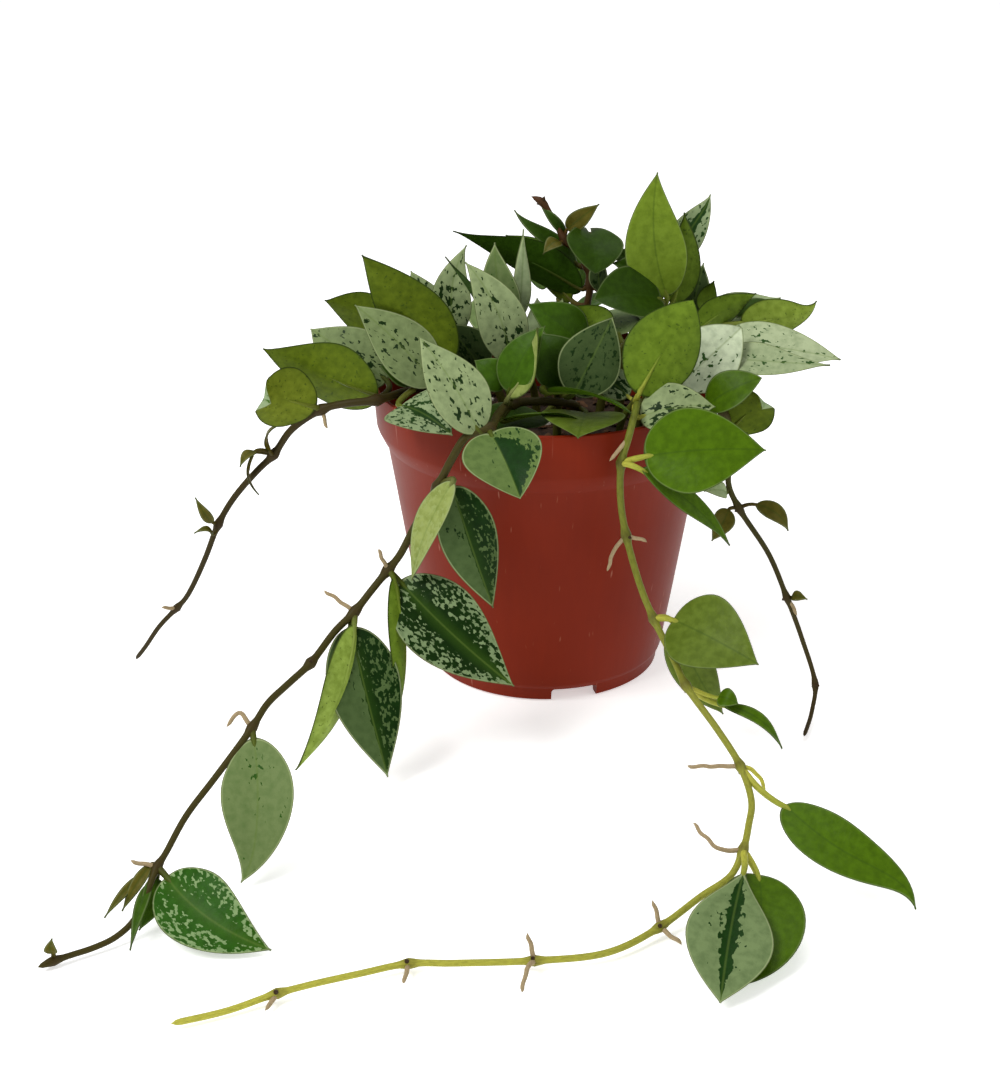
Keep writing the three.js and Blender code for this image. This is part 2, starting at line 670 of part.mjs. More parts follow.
        wide: 16, face: [90, 10], arch: -1, sway: -1, tail: -2,
      },
      { at: 4, base: [68, 2, 131], tip: [83, 3, 135], wide: 7, face: [-90, 60] },
      { at: 4, base: [57, 2, 132], tip: [60, 5, 143], wide: 8, face: [90, 10] },
      { at: 4, base: [54, -6, 128], tip: [74, -5, 141], wide: 13, face: [90, 15] },
    ],
  },
  stem_crown_tall: {
    colour: DEEP_GREEN,
    radius: [1.7, 1.2],
    path: [
      [20, 4, STEM_ROOT_Z],
      [20, 4, 94],
      [24, 3, 110],
      [31, 1, 124],
      [38, -1, 134],
      [39, 9, 142],
    ],
    knots: [4, 5],
    leaves: [
      { at: 4, base: [45, -3, 138], tip: [48, 0, 169], wide: 14, face: [90, 5], sway: -2, drawn: 1.3 },
      { at: 5, base: [45, 14, 148], tip: [59, 18, 171], wide: 13, face: [-90, 15], tail: 0.5 },
      { at: 4, base: [42, -7, 142], tip: [38, -4, 184], wide: 22, face: [-90, 10], sway: -3 },
      { at: 4, base: [39, -11, 141], tip: [16, -22, 144], wide: 23, face: [-90, 50], drawn: 0.9 },
      { at: 5, base: [37, 3, 143], tip: [23, -4, 152], wide: 14, face: [-90, 45] },
      { at: 5, base: [35, 11, 146], tip: [22, 8, 152], wide: 9, face: [-90, 40] },
    ],
  },
  stem_rear_left: {
    colour: SILVER_GREEN,
    radius: [1.7, 1.3],
    path: [
      [-22, 26, STEM_ROOT_Z],
      [-22, 26, 94],
      [-26, 30, 108],
      [-33, 36, 115],
      [-41, 40, 119],
    ],
    knots: [2, 3, 4],
    leaves: [
      { at: 3, base: [-39, 30, 120], tip: [-75, 44, 123], wide: 24, face: [150, 65] },
      { at: 3, base: [-33, 45, 116], tip: [-38, 84, 107], wide: 26, face: [95, 60] },
      { at: 4, base: [-48, 46, 120], tip: [-71, 70, 108], wide: 24, face: [130, 55] },
      { at: 2, base: [-20, 38, 114], tip: [-10, 72, 121], wide: 24, face: [80, 60] },
      { at: 4, base: [-43, 42, 124], tip: [-58, 54, 127], wide: 18, face: [120, 40] },
    ],
  },
  stem_rear_middle: {
    colour: DEEP_GREEN,
    radius: [1.7, 1.3],
    path: [
      [2, 34, STEM_ROOT_Z],
      [2, 34, 94],
      [3, 38, 108],
      [7, 42, 118],
      [6, 44, 127],
    ],
    knots: [3, 4],
    leaves: [
      { at: 3, base: [6, 52, 116], tip: [2, 90, 105], wide: 27, face: [92, 60] },
      { at: 3, base: [14, 46, 119], tip: [43, 62, 123], wide: 22, face: [50, 62] },
      { at: 4, base: [2, 50, 130], tip: [-14, 66, 144], wide: 19, face: [110, 30] },
      { at: 4, base: [10, 47, 130], tip: [27, 60, 143], wide: 19, face: [60, 30] },
    ],
  },
  stem_rear_right: {
    colour: FRESH_GREEN,
    radius: [1.7, 1.3],
    path: [
      [28, 34, STEM_ROOT_Z],
      [28, 34, 94],
      [31, 36, 108],
      [39, 38, 114],
      [49, 36, 119],
    ],
    knots: [2, 3, 4],
    leaves: [
      { at: 3, base: [43, 46, 114], tip: [58, 80, 104], wide: 25, face: [65, 60] },
      { at: 4, base: [56, 38, 119], tip: [88, 52, 110], wide: 24, face: [25, 60] },
      { at: 4, base: [54, 30, 121], tip: [86, 22, 125], wide: 22, face: [-10, 65] },
      { at: 2, base: [29, 44, 111], tip: [27, 80, 109], wide: 24, face: [90, 62] },
    ],
  },
};

const plant = new THREE.Group();

function addNode(name, solid, color, roughness) {
  const mesh = solid.getMesh();
  const positions = new Float32Array(mesh.numVert * 3);
  for (let i = 0; i < mesh.numVert; i++) {
    positions.set(mesh.vertProperties.subarray(i * mesh.numProp, i * mesh.numProp + 3), i * 3);
  }
  const geometry = new THREE.BufferGeometry();
  geometry.setAttribute("position", new THREE.BufferAttribute(positions, 3));
  geometry.setIndex(new THREE.BufferAttribute(new Uint32Array(mesh.triVerts), 1));
  geometry.computeVertexNormals();
  const node = new THREE.Mesh(geometry, new THREE.MeshStandardMaterial({ color, roughness, metalness: 0 }));
  node.name = name;
  plant.add(node);
}

addNode("pot", makePot(), POT_COLOUR, POT_ROUGHNESS);
addNode("soil", makeSoil(Object.values(stems)), SOIL_COLOUR, SOIL_ROUGHNESS);
for (const [name, stem] of Object.entries(stems)) addNode(name, leafyStem(stem), stem.colour, LEAF_ROUGHNESS);

// The origin is the bottom centre of the whole part's box.
const box = new THREE.Box3().setFromObject(plant, true);
const middle = box.getCenter(new THREE.Vector3());
plant.position.set(-middle.x, -middle.y, -box.min.z);

const part = new THREE.Group();
part.add(plant);
export default part;
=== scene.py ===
"""Potted trailing hoya: silver-splashed and green leaves on vines that grow from a brown grower's pot."""

import math
import random

import bpy
import numpy as np
from mathutils import Matrix, Vector


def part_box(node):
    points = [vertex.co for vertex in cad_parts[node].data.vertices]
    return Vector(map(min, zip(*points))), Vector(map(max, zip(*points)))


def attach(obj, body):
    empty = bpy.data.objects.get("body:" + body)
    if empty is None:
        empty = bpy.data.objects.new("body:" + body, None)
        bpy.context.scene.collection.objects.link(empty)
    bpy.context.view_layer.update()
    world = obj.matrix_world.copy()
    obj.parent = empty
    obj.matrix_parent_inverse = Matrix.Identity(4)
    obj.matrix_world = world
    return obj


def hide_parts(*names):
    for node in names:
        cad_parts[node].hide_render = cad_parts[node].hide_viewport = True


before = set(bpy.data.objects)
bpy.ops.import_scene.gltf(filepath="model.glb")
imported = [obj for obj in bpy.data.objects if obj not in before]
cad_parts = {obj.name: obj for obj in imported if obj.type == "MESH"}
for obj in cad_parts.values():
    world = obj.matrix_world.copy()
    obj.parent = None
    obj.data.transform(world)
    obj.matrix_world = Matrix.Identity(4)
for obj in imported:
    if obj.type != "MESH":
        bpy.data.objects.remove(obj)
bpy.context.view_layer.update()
MM = 0.001

# Camera: it looks down on the pot from the front, at the height and distance that the pot's rim and foot
# give. The pot's axis is the middle of its own box, and the plant is placed about it.
CAMERA_RISE = math.radians(23.63)
CAMERA_ROLL = math.radians(-0.18)
CAMERA_DISTANCE = 0.750
AIM_RIGHT = -0.0165
AIM_UP = 0.0388
FOCAL_PIXELS = 1959
PICTURE_PIXELS_HIGH = 1092

pot_low, pot_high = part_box("pot")
pot_axis = Vector(((pot_low.x + pot_high.x) / 2, (pot_low.y + pot_high.y) / 2, 0))
lean_back = Matrix.Rotation(math.radians(90) - CAMERA_RISE, 4, "X")
eye = pot_axis + lean_back @ Vector((AIM_RIGHT, AIM_UP, CAMERA_DISTANCE))
bpy.ops.object.camera_add()
camera = bpy.context.object
camera.matrix_world = Matrix.Translation(eye) @ lean_back @ Matrix.Rotation(CAMERA_ROLL, 4, "Z")
camera.data.lens = FOCAL_PIXELS / PICTURE_PIXELS_HIGH * camera.data.sensor_width
bpy.context.scene.camera = camera
bpy.context.scene.view_settings.view_transform = "Standard"


# Pot: an injection-moulded grower's pot of brown polypropylene, with a rim band, a crease under the band, and
# a foot ring that four notches cut into feet. It is turned as one shell, then notched and drained.
POT_SIDES = 160
POT_PROFILE = [
    (4, 5), (37.2, 5), (38, 4.4), (38.5, 0.4), (38.9, 0), (42.2, 0), (42.8, 0.4), (43.3, 4.6), (43.6, 5.2),
    (44.3, 5.8), (44.7, 7), (48.0, 27), (51.3, 48), (54.6, 69), (57.4, 86.4), (57.9, 87.2), (58.8, 88.6),
    (60.6, 92.2), (61.1, 93.8), (61.6, 101), (62, 107.8), (61.9, 108.6), (61.4, 109), (60.8, 108.9),
    (60.4, 108.2), (60.2, 94), (56.2, 87), (43.2, 9), (42, 7.4), (4, 7),
]
NOTCH_TURNS = [-76, 14, 104, 194]
NOTCH_WIDE = 17
NOTCH_HEIGHT = 4.5
NOTCH_DEEP = 20
NOTCH_REACH = 43
NOTCH_ROUND = 1.2
BELOW_FOOT = 2
DRAIN_TURNS = [30, 90, 150, 210, 270, 330]
DRAIN_REACH = 30
DRAIN_RADIUS = 3.5
DRAIN_SIDES = 24
DRAIN_DEEP = 6
POT_FLOOR_Z = 6
POT_MERGE = 0.01
POT_EDGE_ANGLE = 32
POT_BROWNS = ("#6c1b06", "#81260c")
DRAG_BROWN = "#561608"
SCRATCH_TAN = "#b07a66"
WEAR_SCALE = 22.0
DRAG_SCALE = (420, 420, 14)
SCRATCH_SCALE = (900, 900, 14)
SCRATCH_FROM = 0.8


def turned(name, profile, sides):
    """Turns a profile of (radius, height) in millimetres about the pot's axis into a closed shell."""
    bpy.ops.object.select_all(action="DESELECT")
    radius, height = profile[0]
    start = (pot_axis.x, pot_axis.y, height * MM)
    bpy.ops.mesh.primitive_circle_add(vertices=sides, radius=radius * MM, fill_type="NGON", location=start)
    shell = bpy.context.object
    shell.name = name
    bpy.ops.object.mode_set(mode="EDIT")
    bpy.ops.mesh.select_all(action="SELECT")
    for next_radius, next_height in profile[1:]:
        rise = (0, 0, (next_height - height) * MM)
        bpy.ops.mesh.extrude_edges_move(TRANSFORM_OT_translate={"value": rise})
        share = next_radius / radius
        bpy.ops.transform.resize(value=(share, share, 1))
        radius, height = next_radius, next_height
    bpy.ops.mesh.edge_face_add()
    bpy.ops.mesh.select_all(action="SELECT")
    bpy.ops.mesh.normals_make_consistent(inside=False)
    bpy.ops.object.mode_set(mode="OBJECT")
    bpy.ops.object.transform_apply(location=True, rotation=True, scale=True)
    return shell


def around_pot(turn, reach, height):
    """A place at a turn in degrees about the pot's axis, and at a reach and a height in millimetres."""
    reached = Matrix.Rotation(math.radians(turn), 3, "Z") @ Vector((reach * MM, 0, 0))
    return pot_axis + reached + Vector((0, 0, height * MM))


def cut_away(body, cutter):
    """Cuts one shape out of another, and removes the cutter."""
    bpy.context.view_layer.objects.active = body
    cut = body.modifiers.new("cut", "BOOLEAN")
    cut.object = cutter
    cut.solver = "EXACT"
    bpy.ops.object.modifier_apply(modifier=cut.name)
    bpy.data.objects.remove(cutter)


def paint(code):
    """A colour code, such as #7a2f22, as Blender's linear colour."""
    levels = [int(code[i : i + 2], 16) / 255 for i in (1, 3, 5)]
    return [c / 12.92 if c <= 0.04045 else ((c + 0.055) / 1.055) ** 2.4 for c in levels] + [1.0]


def new_material(name, roughness, gloss=0.3):
    """A material and its shader."""
    material = bpy.data.materials.new(name)
    material.use_nodes = True
    shader = material.node_tree.nodes["Principled BSDF"]
    shader.inputs["Roughness"].default_value = roughness
    shader.inputs["Specular IOR Level"].default_value = gloss
    return material, shader


def add(shader, kind, inputs, **settings):
    """Adds a node next to a shader. An input is a number, a colour, a Level or another node's output."""
    tree = shader.id_data
    made = tree.nodes.new("ShaderNode" + kind)
    for key, value in settings.items():
        setattr(made, key, value)
    for key, value in inputs.items():
        value = getattr(value, "socket", value)
        if isinstance(value, bpy.types.NodeSocket):
            tree.links.new(value, made.inputs[key])
        else:
            made.inputs[key].default_value = value
    return made


class Level:
    """A value that a material works out at each point. Arithmetic on it adds that step's node."""

    def __init__(self, shader, socket):
        self.shader = shader
        self.socket = socket

    def step(self, operation, *terms, clamp=False):
        worked = add(self.shader, "Math", dict(enumerate(terms)), operation=operation, use_clamp=clamp)
        return Level(self.shader, worked.outputs[0])

    def __add__(self, other):
        return self.step("ADD", self, other)

    def __sub__(self, other):
        return self.step("SUBTRACT", self, other)

    def __rsub__(self, other):
        return self.step("SUBTRACT", other, self)

    def __mul__(self, other):
        return self.step("MULTIPLY", self, other)

    def __truediv__(self, other):
        return self.step("DIVIDE", self, other)

    def __pow__(self, power):
        return self.step("POWER", self, power)

    def __gt__(self, other):
        return self.step("GREATER_THAN", self, other)

    def __abs__(self):
        return self.step("ABSOLUTE", self)

    def sine(self):
        return self.step("SINE", self)

    def steep(self, middle, slope):
        """A share that climbs from 0, where the value is middle, at a slope, and stops at 1."""
        return self.step("MULTIPLY", self - middle, slope, clamp=True)

    def rise(self, low, high):
        """A share that goes from 0 where the value is low to 1 where it is high."""
        spread = {"Value": self, "From Min": low, "From Max": high}
        return Level(self.shader, add(self.shader, "MapRange", spread).outputs[0])


def blend_of(shader, share, first, second, mode="MIX"):
    """Two colours mixed by a share."""
    mix = add(shader, "Mix", {0: share, 6: first, 7: second}, data_type="RGBA", blend_type=mode)
    return mix.outputs[2]


def noise_of(shader, place, scale, detail):
    """Noise from 0 to 1 at a place."""
    noise = add(shader, "TexNoise", {"Vector": place, "Scale": scale, "Detail": detail})
    return Level(shader, noise.outputs["Fac"])


def stretched(shader, place, scale):
    """A place scaled along each axis, for a pattern that runs one way."""
    return add(shader, "Mapping", {"Vector": place, "Scale": scale}).outputs[0]


def raised(shader, height, strength, distance):
    """A bump from a height."""
    bump = add(shader, "Bump", {"Height": height, "Strength": strength, "Distance": distance})
    return bump.outputs["Normal"]


def finish_with(shader, **outputs):
    """Links colours and values to the shader's sockets, whose names have _ for a space."""
    for key, value in outputs.items():
        shader.id_data.links.new(getattr(value, "socket", value), shader.inputs[key.replace("_", " ")])


def pot_plastic():
    """Moulded brown plastic: faint vertical drag marks, cloudy wear and a few thin pale scratches."""
    material, shader = new_material("pot_plastic", 0.42, gloss=0.08)
    place = add(shader, "TexCoord", {}).outputs["Object"]
    wear = noise_of(shader, place, WEAR_SCALE, 4.0)
    drag = noise_of(shader, stretched(shader, place, DRAG_SCALE), 1.0, 3.0)
    scratch = noise_of(shader, stretched(shader, place, SCRATCH_SCALE), 1.0, 0.0)
    body = blend_of(shader, wear, *map(paint, POT_BROWNS))
    dragged = blend_of(shader, drag * 0.25, body, paint(DRAG_BROWN))
    worn = blend_of(shader, scratch.steep(SCRATCH_FROM, 10.0) * 0.5, dragged, paint(SCRATCH_TAN))
    ridges = raised(shader, drag, 0.08, 0.0004)
    finish_with(shader, Base_Color=worn, Roughness=wear * 0.16 + 0.36, Normal=ridges)
    return material


pot_piece = turned("pot_shell", POT_PROFILE, POT_SIDES)
for turn in NOTCH_TURNS:
    middle = around_pot(turn, NOTCH_REACH, (NOTCH_HEIGHT - BELOW_FOOT) / 2)
    bpy.ops.mesh.primitive_cube_add(size=MM, location=middle, rotation=(0, 0, math.radians(turn)))
    cutter = bpy.context.object
    cutter.scale = (NOTCH_DEEP, NOTCH_WIDE, NOTCH_HEIGHT + BELOW_FOOT)
    bpy.ops.object.transform_apply(location=False, rotation=False, scale=True)
    cutter_bevel = cutter.modifiers.new("round", "BEVEL")
    cutter_bevel.width = NOTCH_ROUND * MM
    cutter_bevel.segments = 3
    cut_away(pot_piece, cutter)
for turn in DRAIN_TURNS:
    bpy.ops.mesh.primitive_cylinder_add(
        vertices=DRAIN_SIDES,
        radius=DRAIN_RADIUS * MM,
        depth=DRAIN_DEEP * MM,
        location=around_pot(turn, DRAIN_REACH, POT_FLOOR_Z),
    )
    cut_away(pot_piece, bpy.context.object)
bpy.ops.object.select_all(action="DESELECT")
pot_piece.select_set(True)
bpy.context.view_layer.objects.active = pot_piece
bpy.ops.object.mode_set(mode="EDIT")
bpy.ops.mesh.select_all(action="SELECT")
bpy.ops.mesh.remove_doubles(threshold=POT_MERGE * MM)
bpy.ops.mesh.dissolve_degenerate(threshold=POT_MERGE * MM)
bpy.ops.object.mode_set(mode="OBJECT")
bpy.ops.object.shade_smooth_by_angle(angle=math.radians(POT_EDGE_ANGLE))
pot_piece.data.materials.append(pot_plastic())
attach(pot_piece, "root")
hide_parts("pot")


# Potting mix: a dark, slightly mounded bed of fine bark and fibre, with loose chips and a few pale grains of
# perlite on top. The bed is turned and roughened, and one chip of each kind is copied over it.
SOIL_SIDES = 96
SOIL_RINGS = 26
SOIL_FOOT = [(4, 8), (42, 8)]
SOIL_EDGE = 56.2
SOIL_EDGE_Z = 86.2
SOIL_TOP_Z = 91.0
CRUMB_SIZE = 5
CRUMB_RISE = 3.2
CHIP_COUNT = 330
CHIP_SIZE = (3.0, 1.6, 0.8)
GRAIN_COUNT = 36
GRAIN_SIZE = (0.9, 0.9, 0.8)
CHIP_ROUGH = (0.7, 1.15)
CHIP_STRETCH = (0.6, 1.4)
CHIP_TILT = 0.6
CHIP_SUNK = 0.4
CHIP_FREE_RIM = 4
SMOOTH_UNDER_ANGLE = 55
MIX_BROWNS = ("#1c130d", "#4b3627")
CHIP_BROWNS = ("#2a1c12", "#6a4a31")
PERLITE_GREYS = ("#a79f92", "#d8d2c6")
SOIL_SEED = 11


def potting_mix(name, dark, light):
    """Crumbly organic matter: two browns broken up by coarse and fine noise."""
    material, shader = new_material(name, 0.95)
    place = add(shader, "TexCoord", {}).outputs["Object"]
    coarse = noise_of(shader, place, 260.0, 5.0)
    fine = noise_of(shader, place, 1300.0, 3.0)
    colour = blend_of(shader, coarse.steep(0.35, 2.6), paint(dark), paint(light))
    finish_with(shader, Base_Color=colour, Normal=raised(shader, fine, 0.7, 0.0006))
    return material


def soil_height(reach):
    """Height of the mix at a distance from the pot's axis, in millimetres."""
    dome = math.cos(math.pi / 2 * min(reach / SOIL_EDGE, 1)) ** 0.6
    return SOIL_EDGE_Z + (SOIL_TOP_Z - SOIL_EDGE_Z) * dome


soil_random = random.Random(SOIL_SEED)
bed_profile = [*SOIL_FOOT, (SOIL_EDGE - 0.6, SOIL_EDGE_Z - 2)]
for ring in range(SOIL_RINGS):
    reach = SOIL_EDGE * (1 - ring / SOIL_RINGS)
    bed_profile.append((max(reach, 2), soil_height(reach)))
soil_piece = turned("potting_mix", bed_profile, SOIL_SIDES)
crumbs = bpy.data.textures.new("crumbs", "CLOUDS")
crumbs.noise_scale = CRUMB_SIZE * MM
crumbs.noise_depth = 3
rough = soil_piece.modifiers.new("crumble", "DISPLACE")
rough.texture = crumbs
rough.strength = CRUMB_RISE * MM
rough.mid_level = 0.75
bpy.ops.object.modifier_apply(modifier=rough.name)
bpy.ops.object.shade_smooth()
soil_piece.data.materials.append(potting_mix("potting_mix", *MIX_BROWNS))


def scattered(name, count, size, material):
    """Copies of one rough chip, tumbled over the bed and joined."""
    bpy.ops.mesh.primitive_ico_sphere_add(subdivisions=2, radius=MM)
    chip = bpy.context.object
    for vertex in chip.data.vertices:
        vertex.co *= soil_random.uniform(*CHIP_ROUGH)
    chip.data.materials.append(material)
    copies = []
    for _ in range(count):
        copy = chip.copy()
        copy.data = chip.data.copy()
        bpy.context.collection.objects.link(copy)
        reach = (SOIL_EDGE - CHIP_FREE_RIM) * math.sqrt(soil_random.random())
        turn = soil_random.uniform(0, 2 * math.pi)
        stretch = [axis * soil_random.uniform(*CHIP_STRETCH) for axis in size]
        height = soil_height(reach) - CHIP_SUNK
        place = pot_axis + Vector((reach * math.cos(turn), reach * math.sin(turn), height)) * MM
        tilt = Matrix.Rotation(soil_random.uniform(-CHIP_TILT, CHIP_TILT), 4, "X")
        tumble = tilt @ Matrix.Rotation(turn * 5, 4, "Z")
        copy.data.transform(Matrix.Translation(place) @ tumble @ Matrix.Diagonal((*stretch, 1)))
        copies.append(copy)
    bpy.data.objects.remove(chip)
    return joined(name, copies)


def joined(name, pieces):
    """One object of several, with flat edges only where faces meet sharply."""
    bpy.ops.object.select_all(action="DESELECT")
    for piece in pieces:
        piece.select_set(True)
    bpy.context.view_layer.objects.active = pieces[0]
    bpy.ops.object.join()
    whole = bpy.context.object
    whole.name = name
    whole.data.name = name
    bpy.ops.object.shade_smooth_by_angle(angle=math.radians(SMOOTH_UNDER_ANGLE))
    return whole


bark_chips = scattered("bark_chips", CHIP_COUNT, CHIP_SIZE, potting_mix("bark", *CHIP_BROWNS))
perlite_mix = potting_mix("perlite", *PERLITE_GREYS)
perlite_grains = scattered("perlite_grains", GRAIN_COUNT, GRAIN_SIZE, perlite_mix)
for piece in (soil_piece, bark_chips, perlite_grains):
    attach(piece, "root")
    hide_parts("soil")


# Trailing stem, left: the first leafy stem, so the ways of making bark, stalks and blades are here.
# A stem is a round vine with a swollen, woody knot at each pair of stalks, and each stalk runs on under its
# blade as the midrib. A blade is one lens-thin sheet, folded and arched about its midrib.
FOOT_HEIGHTS = (72, 94)
STEM_SIDES = 14
STEM_STEP = 1.6
STEM_SWAY = 0.12
STEM_WAVE = 9
KNOT_LENGTH = 2.0
KNOT_SWELL = 0.65
KNOT_WOOD = 0.5
STUB_LENGTH = 3.0
STUB_RADIUS = 1.0
STALK_SIDES = 8
STALK_RADIUS = 0.9
SMALL_STALK_RADIUS = 0.6
STALK_FLARE = 1.35
STALK_POINTS = 9
RIB_POINTS = 8
RIB_REACH = (0.04, 0.4)
RIB_SUNK = 0.75
RIB_END_RADIUS = 0.2
SMALL_LEAF = 19
ROOT_RADIUS = 0.8
ROOT_STEP = 0.8
ROOT_WAVE = (0.25, 0.1, 0.25)
POINT_RADIUS = 0.004
ROLL_RADIUS = 2.0
SURFACE_CLEAR = 0.15
WELD = 0.02
GRAIN_STEP = 0.35
BLADE_COLUMNS = 18
BLADE_ROWS = 34
BLADE_HALF_THICK = 0.42
TIP_HALF_WIDE = 0.3
BASE_HALF_WIDE = 0.5
LOBE_REACH = 0.13
BARK_BROWN = "#3a2a18"
STREAK_BROWN = "#2e2010"
ROOT_TAN = "#a08d6b"
CROWN_BARK = ("#4a4c1c", "#5d5f22")
LEAF_SEED = 5
leaf_random = random.Random(LEAF_SEED)

# How a blade is formed unless its row says otherwise. Arch and sway bend its midrib by so many millimetres,
# tail swings its tip, neck and drawn narrow its base and tip, fold is in degrees, roll turns its tip over (in
# radians), lobe is how far its base reaches back (as a share of its width), and sag lowers its stalk.
USUAL_FORM = {
    "arch": 2.5,
    "sway": 0,
    "tail": 0,
    "neck": 0.6,
    "drawn": 1.15,
    "fold": 12,
    "roll": 0,
    "lobe": 0.07,
    "sag": 0,
}
CUPPED = (-0.10, 0.04)
WAVED = (0.2, 0.7)

# The upper side: its spots, the silver's edge, its clouds, and the colours of shade, middle, rib and rims.
SPOT_STRETCH = (1.0, 0.6, 1.0)
SPOT_SCALE = 0.95
DOT_GROWTH = 0.25
DOTTED_FROM = 0.6
CLUSTER_SCALE = 0.13
CLUSTER_SHARE = 0.3
SILVER_EDGE = 45.0
CLOUD_SCALE = 0.4
CLOUD_DETAIL = 6.0
SIDE_VEINS = 7.0
TOP_SHADE = "#dcdfca"
FRESH_GREEN = "#41601a"
# This green is also the painted shade towards the underside's margin.
RIB_GREEN = "#2c4410"
RIB_PALE = "#5c7230"
RIM_PALE = "#98a474"
# The dark edge line is partly the leaf's own thin dark edge and partly painted shade at the margin.
EDGE_LINE_AND_SHADE_GREEN = "#2c3a12"

# The underside: its shade, painted shade towards the margin, and colours in the pores, on the rib and at the
# edge.
BACK_SHADE = "#d2d6be"
PORE_GREEN = "#22360c"
BACK_RIB_GREEN = "#3a4c10"
# The underside's edge line is partly the leaf's own dark edge and partly painted shade.
BACK_EDGE_LINE_AND_SHADE_GREEN = "#212d0a"

# Each look: the upper side's green and silver, how far the silver spreads (noise below it is silver), how
# wide a stripe stays bare along the midrib, and the underside. A pair is for the left and the right half.
# Some looks also have a fresher green along the midrib.
LOOKS = {
    "silver_dots": ("#1a3010", "#8b9a6c", 0.63, 0, "#5f7026"),
    # A darker copy of the dotted look: its dimmer silver is painted shade, for leaves that lie behind others.
    "silver_in_shade": ("#1a3010", "#7a8a5a", 0.63, 0, "#5f7026"),
    "silver_light": ("#2c4e1c", "#a3af88", 0.66, 0, "#66792a"),
    "silver_mid": ("#2c4e1c", "#95a27a", 0.66, 0, "#66792a"),
    "silver_pale": ("#2c4e1c", "#c4cfae", 0.66, 0, "#66792a"),
    "silver_plain": ("#365a22", "#98a87c", 0.78, 0, "#6f8434"),
    # The silvers of these two looks are darkened as painted shade, to offset the light the glowing floor
    # throws on low leaves.
    "silver_green": ("#2c5216", "#697b4a", 0.72, 0, "#5c7222"),
    "silver_stripe": ("#17380a", "#6f8254", 0.7, 2.4, "#56701c"),
    "band_right": ("#14340a", "#5c713a", (0.6, 0.74), (7, 0), "#56701c"),
    # The left half's grey silver is partly the leaf's own pattern and partly painted shade.
    "half_left": ("#102a06", "#485c33", (0.45, 0.72), (1.5, 0.5), "#56701c"),
    "splash": ("#122a06", "#75885f", 0.47, 2.5, "#4c6a1a"),
    "splash_fresh": ("#28540e", "#7f9866", 0.46, 2, "#4c6a1a"),
    "splash_pale": ("#24401a", "#88996f", 0.56, 1, "#5f7026"),
    # A darker copy of the dotted look: its dark silver and underside are painted shade, for leaves among
    # others.
    "silver_in_deep_shade": ("#1a3010", "#3d4e29", 0.62, 0, "#34501a"),
    "green": ("#3a590e", "#7c9068", 0.1, 0, "#48680f"),
    "bright": ("#476509", "#7c9068", 0.12, 0, "#4f7010"),
    "matt": ("#5b6d24", "#7c9068", 0.12, 0, "#587016"),
    # Its deep green is partly the leaves' own colour and partly painted shade from inside the crown.
    "dark": ("#2a4208", "#7c9068", 0.1, 0, "#33520e"),
    "olive_back": ("#365c1a", "#8a9c74", 0.55, 0, "#5a6b12"),
    "olive_light": ("#365c1a", "#8a9c74", 0.55, 0, "#728022"),
    "light_back": ("#365c1a", "#8a9c74", 0.5, 0, "#678022"),
    "pale_back": ("#365c1a", "#8a9c74", 0.5, 0, "#84993a"),
    "light_top": ("#6d8426", "#8a9c74", 0.08, 0, "#678022"),
    "strip": ("#8a9654", "#8c995a", 0.5, 0, "#8a9654"),
    "strip_green": ("#92a94a", "#93a650", 0.5, 0, "#92a94a"),
    "young": ("#57521a", "#7a7040", 0.1, 0, "#605818"),
}
FRESH_RIBS = {"splash": 0.3, "splash_fresh": 0.35, "half_left": 0.15}


def direction(turn, rise):
    """A direction from its turn about Z and its rise above level, in degrees."""
    level = math.cos(math.radians(rise))
    turn, rise = math.radians(turn), math.radians(rise)
    return np.array((level * math.cos(turn), level * math.sin(turn), math.sin(rise)))


def unit(v):
    return v / np.linalg.norm(v, axis=-1, keepdims=True)


def square_to(v, axis):
    """The part of v that is square to an axis, at length one."""
    return unit(v - np.sum(v * axis, axis=-1, keepdims=True) * axis)


def smooth_path(way, step):
    """Points along a centripetal Catmull-Rom curve, and how far along it each is."""
    way = [np.array(p, float) for p in way]
    ends = [2 * way[0] - way[1], *way, 2 * way[-1] - way[-2]]
    points = []
    for a, b, c, d in zip(ends, ends[1:], ends[2:], ends[3:]):
        before, here, after = (math.sqrt(np.linalg.norm(q - p)) for p, q in ((a, b), (b, c), (c, d)))
        leave = ((b - a) / before - (c - a) / (before + here) + (c - b) / here) * here
        arrive = ((c - b) / here - (d - b) / (here + after) + (d - c) / after) * here
        steps = max(2, math.ceil(np.linalg.norm(c - b) / step))
        for s in np.arange(steps) / steps:
            ahead = (2 * s**3 - 3 * s**2 + 1) * b + (s**3 - 2 * s**2 + s) * leave
            points.append(ahead + (3 * s**2 - 2 * s**3) * c + (s**3 - s**2) * arrive)
    points.append(way[-1])
    points = np.array(points)
    walked = np.concatenate([[0], np.cumsum(np.linalg.norm(np.diff(points, axis=0), axis=1))])
    return points, walked


def in_frame(points):
    """Millimetres about the pot's axis as metres in the part's frame, and never under the pot's surface."""
    points = np.asarray(points)
    level = np.maximum(points[:, 2:], SURFACE_CLEAR)
    return np.hstack([points[:, :2], level]) * MM + np.array(pot_axis)


def note(mesh, name, kind, values):
    """Keeps a value for each vertex, which the material reads."""
    mark = mesh.attributes.new(name, kind, "POINT")
    field = "color" if kind == "FLOAT_COLOR" else "vector"
    mark.data.foreach_set(field, np.asarray(values, np.float32).ravel())


